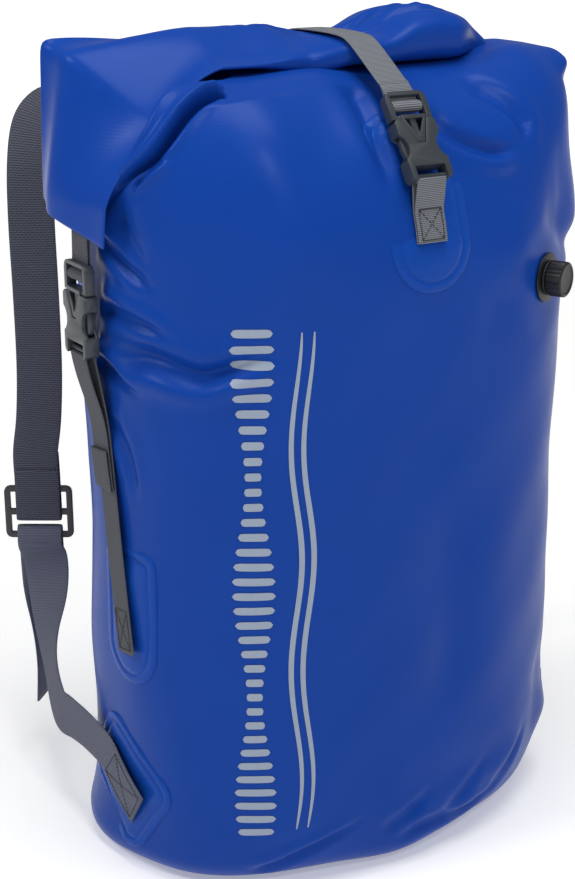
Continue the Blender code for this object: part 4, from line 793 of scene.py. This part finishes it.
def sewn_line(tape, along, across, face=1):
    """Lines of stitches through points on a tape's outer face, or with face -1 on its inner face."""
    lift = face * STITCH_LIFT - (face < 0) * tape.thickness
    spots = tape.at(along, across, lift)
    outward = tape.at(along, across, lift + face * OUTWARD_STEP) - spots
    return list(zip(spots[:-1], spots[1:], outward[:-1]))


def sew_box(name, tape, start, end, inset):
    """A sewn box with a cross, between two lengths along a tape."""
    half = tape.width / 2 - inset
    corners = np.array([(start, -half), (end, -half), (end, half), (start, half)])
    steps = np.linspace(0, 1, 5)[:, None]
    lines = []
    for first, second in ((0, 1), (1, 2), (2, 3), (3, 0), (0, 2), (1, 3)):
        along, across = (corners[first] + (corners[second] - corners[first]) * steps).T
        lines += sewn_line(tape, along, across)
    add_stitches(name, lines)


# %% Front strap and tab
WEBBING = (0.025, 0.0016)  # width and thickness
SEW_INSET = 0.003
CLOSURE_ROUTE_MM = [  # (y, z), at x = 0
    (139, 455), (138, 475), (135.5, 495), (129, 522), (117, 550), (99.7, 577), (74, 602), (53, 622),
    (44, 631), (34, 634.4), (17, 635.6), (0, 635.8), (-17, 635.6), (-34, 634.4), (-44, 631.2),
    (-56, 624), (-74, 612), (-88, 602.5), (-93.4, 596.7), (-95.6, 594.6), (-98.7, 594.1), (-101, 593.3),
    (-102.1, 591.2), (-101.5, 588.8), (-99.4, 587.6), (-97, 587.3), (-95.1, 590.6), (-89.2, 599.2),
    (-84, 606.5)]
TAB_ROUTE_MM = [  # (y, z), at x = 0
    (-134.3, 500.6), (-131.7, 511.6), (-128.5, 522.6), (-127.2, 534), (-126.1, 546), (-126.9, 544.2),
    (-129.4, 543), (-132, 544.2), (-132.7, 546), (-131.6, 534), (-130.6, 523.2), (-133.8, 512.1),
    (-136.4, 501)]
closure_tape = Tape(np.insert(CLOSURE_ROUTE_MM, 0, 0, axis=1), (-1, 0, 0), WEBBING)
closure = closure_tape.piece("closure_tape", CLOSURE_GREY, "closure_webbing", None)
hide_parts("closure_strap")
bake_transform(closure)
sew_box("closure_stitches", closure_tape, 0.004, 0.034, SEW_INSET)

tab_tape = Tape(np.insert(TAB_ROUTE_MM, 0, 0, axis=1), (-1, 0, 0), WEBBING)
tab = tab_tape.piece("front_tab_tape", CLOSURE_GREY, "closure_webbing")
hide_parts("front_tab")
tab_end = tab_tape.length[-1]
sew_box("front_tab_stitches", tab_tape, tab_end - 0.024, tab_end - 0.002, SEW_INSET)
print("closure strap:", round(closure_tape.length[-1], 3), "m")

# %% [markdown]
# ## Side straps
# A tab in each end of the roll holds a plug, and a strap from the side patch pulls it down. Only the left
# is written down: the right is its mirror image, with the sideways direction turned round so that the outer
# face stays outside.

# %% Side straps and the tabs in the roll's ends
SIDE_ROUTE_MM = [
    (-196.9, -29, 190), (-196.9, -24.8, 212), (-196.9, -20.9, 235), (-196.9, -13.7, 280), (-197, -7.6, 325),
    (-198, -3.4, 365), (-202, -1.2, 396), (-205.6, 0, 418), (-206.2, 0, 420.2), (-207.6, 0, 418.7),
    (-209.5, 0, 418.3), (-211.3, 0, 419.1), (-212.2, 0, 417), (-209, -0.8, 400), (-201.4, -2.9, 370),
    (-199.6, -5, 344), (-199.2, -8, 321), (-199.6, -8.5, 317.2), (-200.6, -8.5, 317.2), (-201.1, -8.2, 321),
    (-201.6, -6.7, 332), (-202.2, -5.1, 347)]
COLLAR_ROUTE_MM = [
    (-207, 0, 520), (-207.6, 0, 505), (-208, 0, 488), (-208.7, 0, 481), (-210.9, 0, 478.8),
    (-212.4, 0, 476.9), (-212.1, 0, 474.4), (-210.2, 0, 472.9), (-207.8, 0, 473), (-205.7, 0, 475),
    (-206, 0, 488), (-205.6, 0, 505), (-205, 0, 520)]
MIRROR = np.array((-1, 1, 1))


def handed(route, sideways, hand):
    """A left-hand route and its sideways directions, or their mirror image."""
    route, sideways = np.asarray(route, float), np.asarray(sideways, float)
    return (route, sideways) if hand < 0 else (route * MIRROR, -sideways * MIRROR)


for word, hand in SIDES:
    side_tape = Tape(*handed(SIDE_ROUTE_MM, (0, -1, 0), hand), WEBBING)
    strap = side_tape.piece("side_tape_" + word, SHADED_SIDE_GREY, "closure_webbing", None)
    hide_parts("side_strap_" + word)
    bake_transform(strap)
    sew_box("side_stitches_" + word, side_tape, 0.003, 0.034, SEW_INSET)
    collar_tape = Tape(*handed(COLLAR_ROUTE_MM, (0, 1, 0), hand), WEBBING)
    loop = collar_tape.piece("collar_tape_" + word, SHADED_SIDE_GREY, "closure_webbing")
    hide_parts("collar_tab_" + word)
print("side straps:", round(side_tape.length[-1], 3), "m each")

# %% [markdown]
# ## Shoulder straps
# An upper tape hangs from the back to the slide adjuster. A lower one runs from its tail through the
# adjuster and twists on its way to the patch low on the side, by sideways directions that turn softly over
# a few points.

# %% Shoulder straps
SHOULDER = (0.038, 0.0022)
SHOULDER_INSET = 0.004
UPPER_ROUTE_MM = [
    (-85.8, 131.4, 447), (-85.8, 131.2, 465), (-85.8, 129.8, 483), (-85.8, 127, 502), (-87.3, 136.6, 517),
    (-88.8, 146.5, 532), (-96.4, 165.3, 556), (-109.2, 182, 572), (-124.8, 193.3, 580.6),
    (-139.8, 199.2, 575.6), (-152.1, 200.1, 555.7), (-157.5, 198.4, 521.5), (-159.9, 195.4, 475),
    (-160.8, 192, 420), (-161.7, 190.5, 358), (-165, 189.5, 313), (-169.9, 188.6, 284),
    (-170.8, 187.6, 268), (-170.8, 187.1, 261), (-171.2, 186.5, 229.5), (-171, 186.9, 223),
    (-169, 190, 220.8), (-167, 193.1, 223), (-166.6, 193.7, 229.6), (-167.2, 192.9, 261.5),
    (-168.6, 190.6, 281.5)]
UPPER_BEARING, UPPER_TWIST, UPPER_TWIST_POINTS = 180, 147.5, (4, 12)
UPPER_SEWN_POINT, UPPER_ROW = 17, (-0.017, 0, 0.017)  # a row across the tape
LOWER_ROUTE_MM = [
    (-164, 209, 46), (-163, 207, 86), (-163, 203, 126), (-164.2, 198, 165), (-167, 193.2, 197),
    (-166.6, 193.8, 206), (-167, 193.1, 212.6), (-169, 190, 215.2), (-171, 186.9, 212.6),
    (-171.4, 186.2, 206), (-170.8, 187.1, 197), (-166.3, 187.7, 185), (-167.7, 181.9, 163),
    (-175.6, 168, 132), (-184.7, 145, 108.5), (-193.3, 118.8, 94.3), (-199.8, 91.9, 90), (-200.9, 68.4, 93),
    (-200, 42.2, 93), (-198.2, 13.1, 88), (-197.7, -2.4, 77.4), (-197.1, -17.9, 66.6), (-195.2, -33.6, 55.9)]
SLIDER_SIDE, PATCH_SIDE, PATCH_TURN_POINTS = (-0.843, 0.537, 0), (0, 0.57, -0.82), (10.5, 14.5)
TAIL_SIDE, NO_SIDE, TAIL_TURN_POINTS = (0.125, -1.228, 0), (0, 0, 0), (1, 4)


def turning(count, first, last, points):
    """Sideways directions that turn from one to another between two places of a route."""
    share = smoothstep(*points, np.arange(count))[:, None]
    return np.array(first) * (1 - share) + np.array(last) * share


twist = UPPER_TWIST * smoothstep(*UPPER_TWIST_POINTS, np.arange(len(UPPER_ROUTE_MM)))
bearing = np.radians(UPPER_BEARING + twist)
upper_sides = np.stack([np.cos(bearing), np.sin(bearing), 0 * bearing], axis=-1)
lower_sides = (turning(len(LOWER_ROUTE_MM), SLIDER_SIDE, PATCH_SIDE, PATCH_TURN_POINTS)
               + turning(len(LOWER_ROUTE_MM), TAIL_SIDE, NO_SIDE, TAIL_TURN_POINTS))
for word, hand in SIDES:
    upper_tape = Tape(*handed(UPPER_ROUTE_MM, upper_sides, hand), SHOULDER)
    upper = upper_tape.piece("shoulder_tape_upper_" + word, SHOULDER_GREY, "shoulder_webbing", None)
    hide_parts("shoulder_strap_upper_" + word)
    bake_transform(upper)
    sew_box("upper_stitches_" + word, upper_tape, 0.003, 0.046, SHOULDER_INSET)
    sewn_at = np.full(len(UPPER_ROW), upper_tape.length[UPPER_SEWN_POINT * POINT_STEPS])
    row = sewn_line(upper_tape, sewn_at, UPPER_ROW, -1)
    add_stitches("upper_end_stitches_" + word, row, "slider_" + word)
    lower_tape = Tape(*handed(LOWER_ROUTE_MM, lower_sides, hand), SHOULDER)
    lower = lower_tape.piece("shoulder_tape_lower_" + word, ADJUSTER_GREY, "shoulder_webbing", None)
    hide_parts("shoulder_strap_lower_" + word)
    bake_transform(lower)
    lower_end = lower_tape.length[-1]
    sew_box("lower_stitches_" + word, lower_tape, lower_end - 0.046, lower_end - 0.003, SHOULDER_INSET)
print("shoulder straps:", round(upper_tape.length[-1], 3), "and", round(lower_end, 3), "m each")

# %% [markdown]
# ## Moulded parts
# Buckles, adjusters and the valve keep the frame's solids, with rounded edges that catch a bright line of
# light. A Bevel modifier does the same, but bmesh lets the script pick the sharp edges.

# %% Round the edges of the mouldings
MOULDED_MM = (  # a material, and for the start of each node's name the radius of its edges
    (BUCKLE_GREY, {"front_buckle_socket": 0.9, "front_buckle_plug": 0.6, "front_buckle_prong": 0.4,
                   "side_buckle": 0.6}),
    (SLIDER_BLACK, {"slide_adjuster": 0.7}),
    (VALVE_BLACK, {"valve_cap": 0.3, "valve_stem": 0.3, "valve_nut": 0.3}),
    (RUBBER_BLACK, {"valve_gasket": 0.2, "valve_seal": 0.2, "valve_flap": 0.1}),
)
MERGE_WITHIN = 0.00002
FLAT, SHARP, CRISP = np.radians((1, 28, 40)).tolist()


def round_edges(node, material, radius_mm):
    """A copy of a CAD node with merged corners and small round edges, riding on the node's body."""
    source = frame["nodes"][node]
    shape = bmesh.new()
    shape.from_mesh(source.data)
    bmesh.ops.remove_doubles(shape, verts=shape.verts, dist=MERGE_WITHIN)
    bmesh.ops.dissolve_limit(shape, angle_limit=FLAT, verts=shape.verts, edges=shape.edges)
    sharp = [edge for edge in shape.edges if len(edge.link_faces) == 2 and edge.calc_face_angle() > SHARP]
    bmesh.ops.bevel(shape, geom=sharp, offset=radius_mm * MM, offset_type="OFFSET", segments=2, profile=0.6,
                    affect="EDGES", clamp_overlap=True)
    mesh = bpy.data.meshes.new(node + "_moulded")
    shape.to_mesh(mesh)
    shape.free()
    mesh.shade_smooth()
    mesh.set_sharp_from_angle(angle=CRISP)
    mesh.materials.append(material)
    piece = add_object(node + "_moulded", mesh)
    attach(piece, source["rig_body"])
    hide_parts(node)


for node in frame["nodes"]:
    for material, radii_mm in MOULDED_MM:
        for start, radius_mm in radii_mm.items():
            if node.startswith(start):
                round_edges(node, material, radius_mm)
print("mouldings rounded")

# %% [markdown]
# ## Print
# A screen print runs down the front: a column of level bars whose lengths rise and fall, and two long
# ripples. Each mark is a small grid just above the skin, so it follows every fold.

# %% Front print
PRINT_LIFT = 0.0004
PRINT_FROM = 0.056
BAR_GIRTH, BAR_PITCH, BAR_HEIGHT, BAR_COUNT = -0.137, 0.0115, 0.006, 35
BAR_LENGTHS, BAR_SWING, BAR_START = (0.012, 0.032), 0.42, 0.6
BAR_SQUARENESS = 8
RIPPLE_GIRTHS, RIPPLE_WIDTH = (-0.106, -0.097), 0.0042
RIPPLE_SWAY, RIPPLE_SWING, RIPPLE_TAPER, RIPPLE_TIP = 0.004, 14, 0.3, 0.004


def add_print(name, girth, run):
    """A batch of printed marks from grids of girth and run with the shape marks x rows x columns."""
    marks, rows, columns = girth.shape
    points = skin(girth, run, PRINT_LIFT)
    add_piece(name, points, grid_faces(rows, columns, copies=marks), PRINT_GREY)


bar = np.arange(BAR_COUNT)[:, None, None]
up = np.linspace(-1, 1, 4)[None, :, None]
over = np.linspace(-1, 1, 17)[None, None, :]
swing = 0.5 + 0.5 * np.sin(BAR_SWING * bar + BAR_START)
length = BAR_LENGTHS[0] + (BAR_LENGTHS[1] - BAR_LENGTHS[0]) * swing
rounding = np.maximum(1 - np.abs(over) ** BAR_SQUARENESS, 0) ** 0.5
add_print("print_bars", BAR_GIRTH + length / 2 * over + 0 * up,
          run_at(PRINT_FROM) + BAR_PITCH * bar + BAR_HEIGHT / 2 * up * rounding)
line = np.linspace(0, 1, 240)[None, :, None]
across = np.linspace(-1, 1, 4)[None, None, :]
ripple = np.array(RIPPLE_GIRTHS)[:, None, None]
tall = BAR_PITCH * (BAR_COUNT - 1)
taper = np.sin(np.pi * np.clip(line, RIPPLE_TIP, 1 - RIPPLE_TIP)) ** RIPPLE_TAPER
sway = RIPPLE_SWAY * np.sin(RIPPLE_SWING * line)
add_print("print_ripples", ripple + sway + RIPPLE_WIDTH / 2 * across * taper,
          run_at(PRINT_FROM) + tall * line + 0 * across + 0 * ripple)
print("print:", BAR_COUNT, "bars,", len(RIPPLE_GIRTHS), "ripples")

# %% [markdown]
# ## Stage and light
# The backdrop is white, so the floor glows more the further it lies from the bag and keeps only the soft
# shadow near it. A large light hangs above, a small one in front draws the highlights, and one on the left
# lifts that side.

# %% Stage
FLOOR_HALF, FLOOR_Z = 40, -0.001
FLOOR_PALE, floor_shader = new_material("pale_floor", "#F6F6F5", 0.9, 0.1)
floor_shader.inputs["Emission Color"].default_value = srgb("#FFFFFF")
away = add_node(FLOOR_PALE, "ShaderNodeVectorMath", {0: object_place(FLOOR_PALE)}, operation="LENGTH")
glow = add_node(FLOOR_PALE, "ShaderNodeMapRange", {"Value": away.outputs["Value"]},
                From_Min=0.5, From_Max=4, To_Min=0.31, To_Max=0.93)
link(floor_shader, "Emission Strength", glow.outputs["Result"])
floor_corners = [(FLOOR_HALF * x, FLOOR_HALF * y, FLOOR_Z) for x, y in ((-1, -1), (1, -1), (1, 1), (-1, 1))]
floor = add_piece("floor", floor_corners, [(0, 1, 2, 3)], FLOOR_PALE, body=None)

MIDDLE = Vector((0, 0, 0.32))
SKY_STRENGTH = 0.22


def add_light(name, place, size, power):
    """A square soft light at a place, turned towards the middle of the bag."""
    data = bpy.data.lights.new(name, "AREA")
    data.size = size
    data.energy = power
    light = add_object(name, data)
    light.location = place
    light.rotation_euler = (MIDDLE - Vector(place)).to_track_quat("-Z", "Y").to_euler()


add_light("top_light", (0, -0.4, 2.6), 1.3, 32)
add_light("key_light", (-0.3, -1.8, 2), 0.26, 10)
add_light("left_light", (-1.6, 0.2, 2), 0.6, 15)
world = bpy.data.worlds.new("studio")
scene.world = world
world.use_nodes = True
sky = world.node_tree.nodes["Background"]
sky.inputs["Color"].default_value = (1, 1, 1, 1)
sky.inputs["Strength"].default_value = SKY_STRENGTH
scene.view_settings.view_transform = "Standard"
print("lights:", len(bpy.data.lights))

# %% [markdown]
# ## Camera
# The camera stands at the photograph's angle and distance. The shift moves the picture without turning it.

# %% Camera
CAMERA_AZIMUTH = -33.2
CAMERA_ELEVATION = 19.5
CAMERA_DISTANCE = 1.35
CAMERA_ROLL = 0.4
CAMERA_AIM = Vector((0, 0, 0.29))
SENSOR_MM = 36
FRAME_HEIGHT_PX = 879
FOCAL_PX = 1670
SHIFT_PX = (-38, 31.5)
azimuth, elevation = np.radians(CAMERA_AZIMUTH), np.radians(CAMERA_ELEVATION)
level = np.cos(elevation)
towards = Vector((np.sin(azimuth) * level, -np.cos(azimuth) * level, np.sin(elevation)))
lens = bpy.data.cameras.new("camera")
lens.sensor_width = SENSOR_MM
lens.lens = FOCAL_PX * SENSOR_MM / FRAME_HEIGHT_PX
lens.shift_x, lens.shift_y = (shift / FRAME_HEIGHT_PX for shift in SHIFT_PX)
camera = add_object("camera", lens)
camera.location = CAMERA_AIM + CAMERA_DISTANCE * towards
roll_turn = Quaternion((0, 0, 1), np.radians(CAMERA_ROLL))
camera.rotation_euler = ((-towards).to_track_quat("-Z", "Y") @ roll_turn).to_euler()
scene.camera = camera
print("camera:", round(lens.lens, 1), "mm lens")
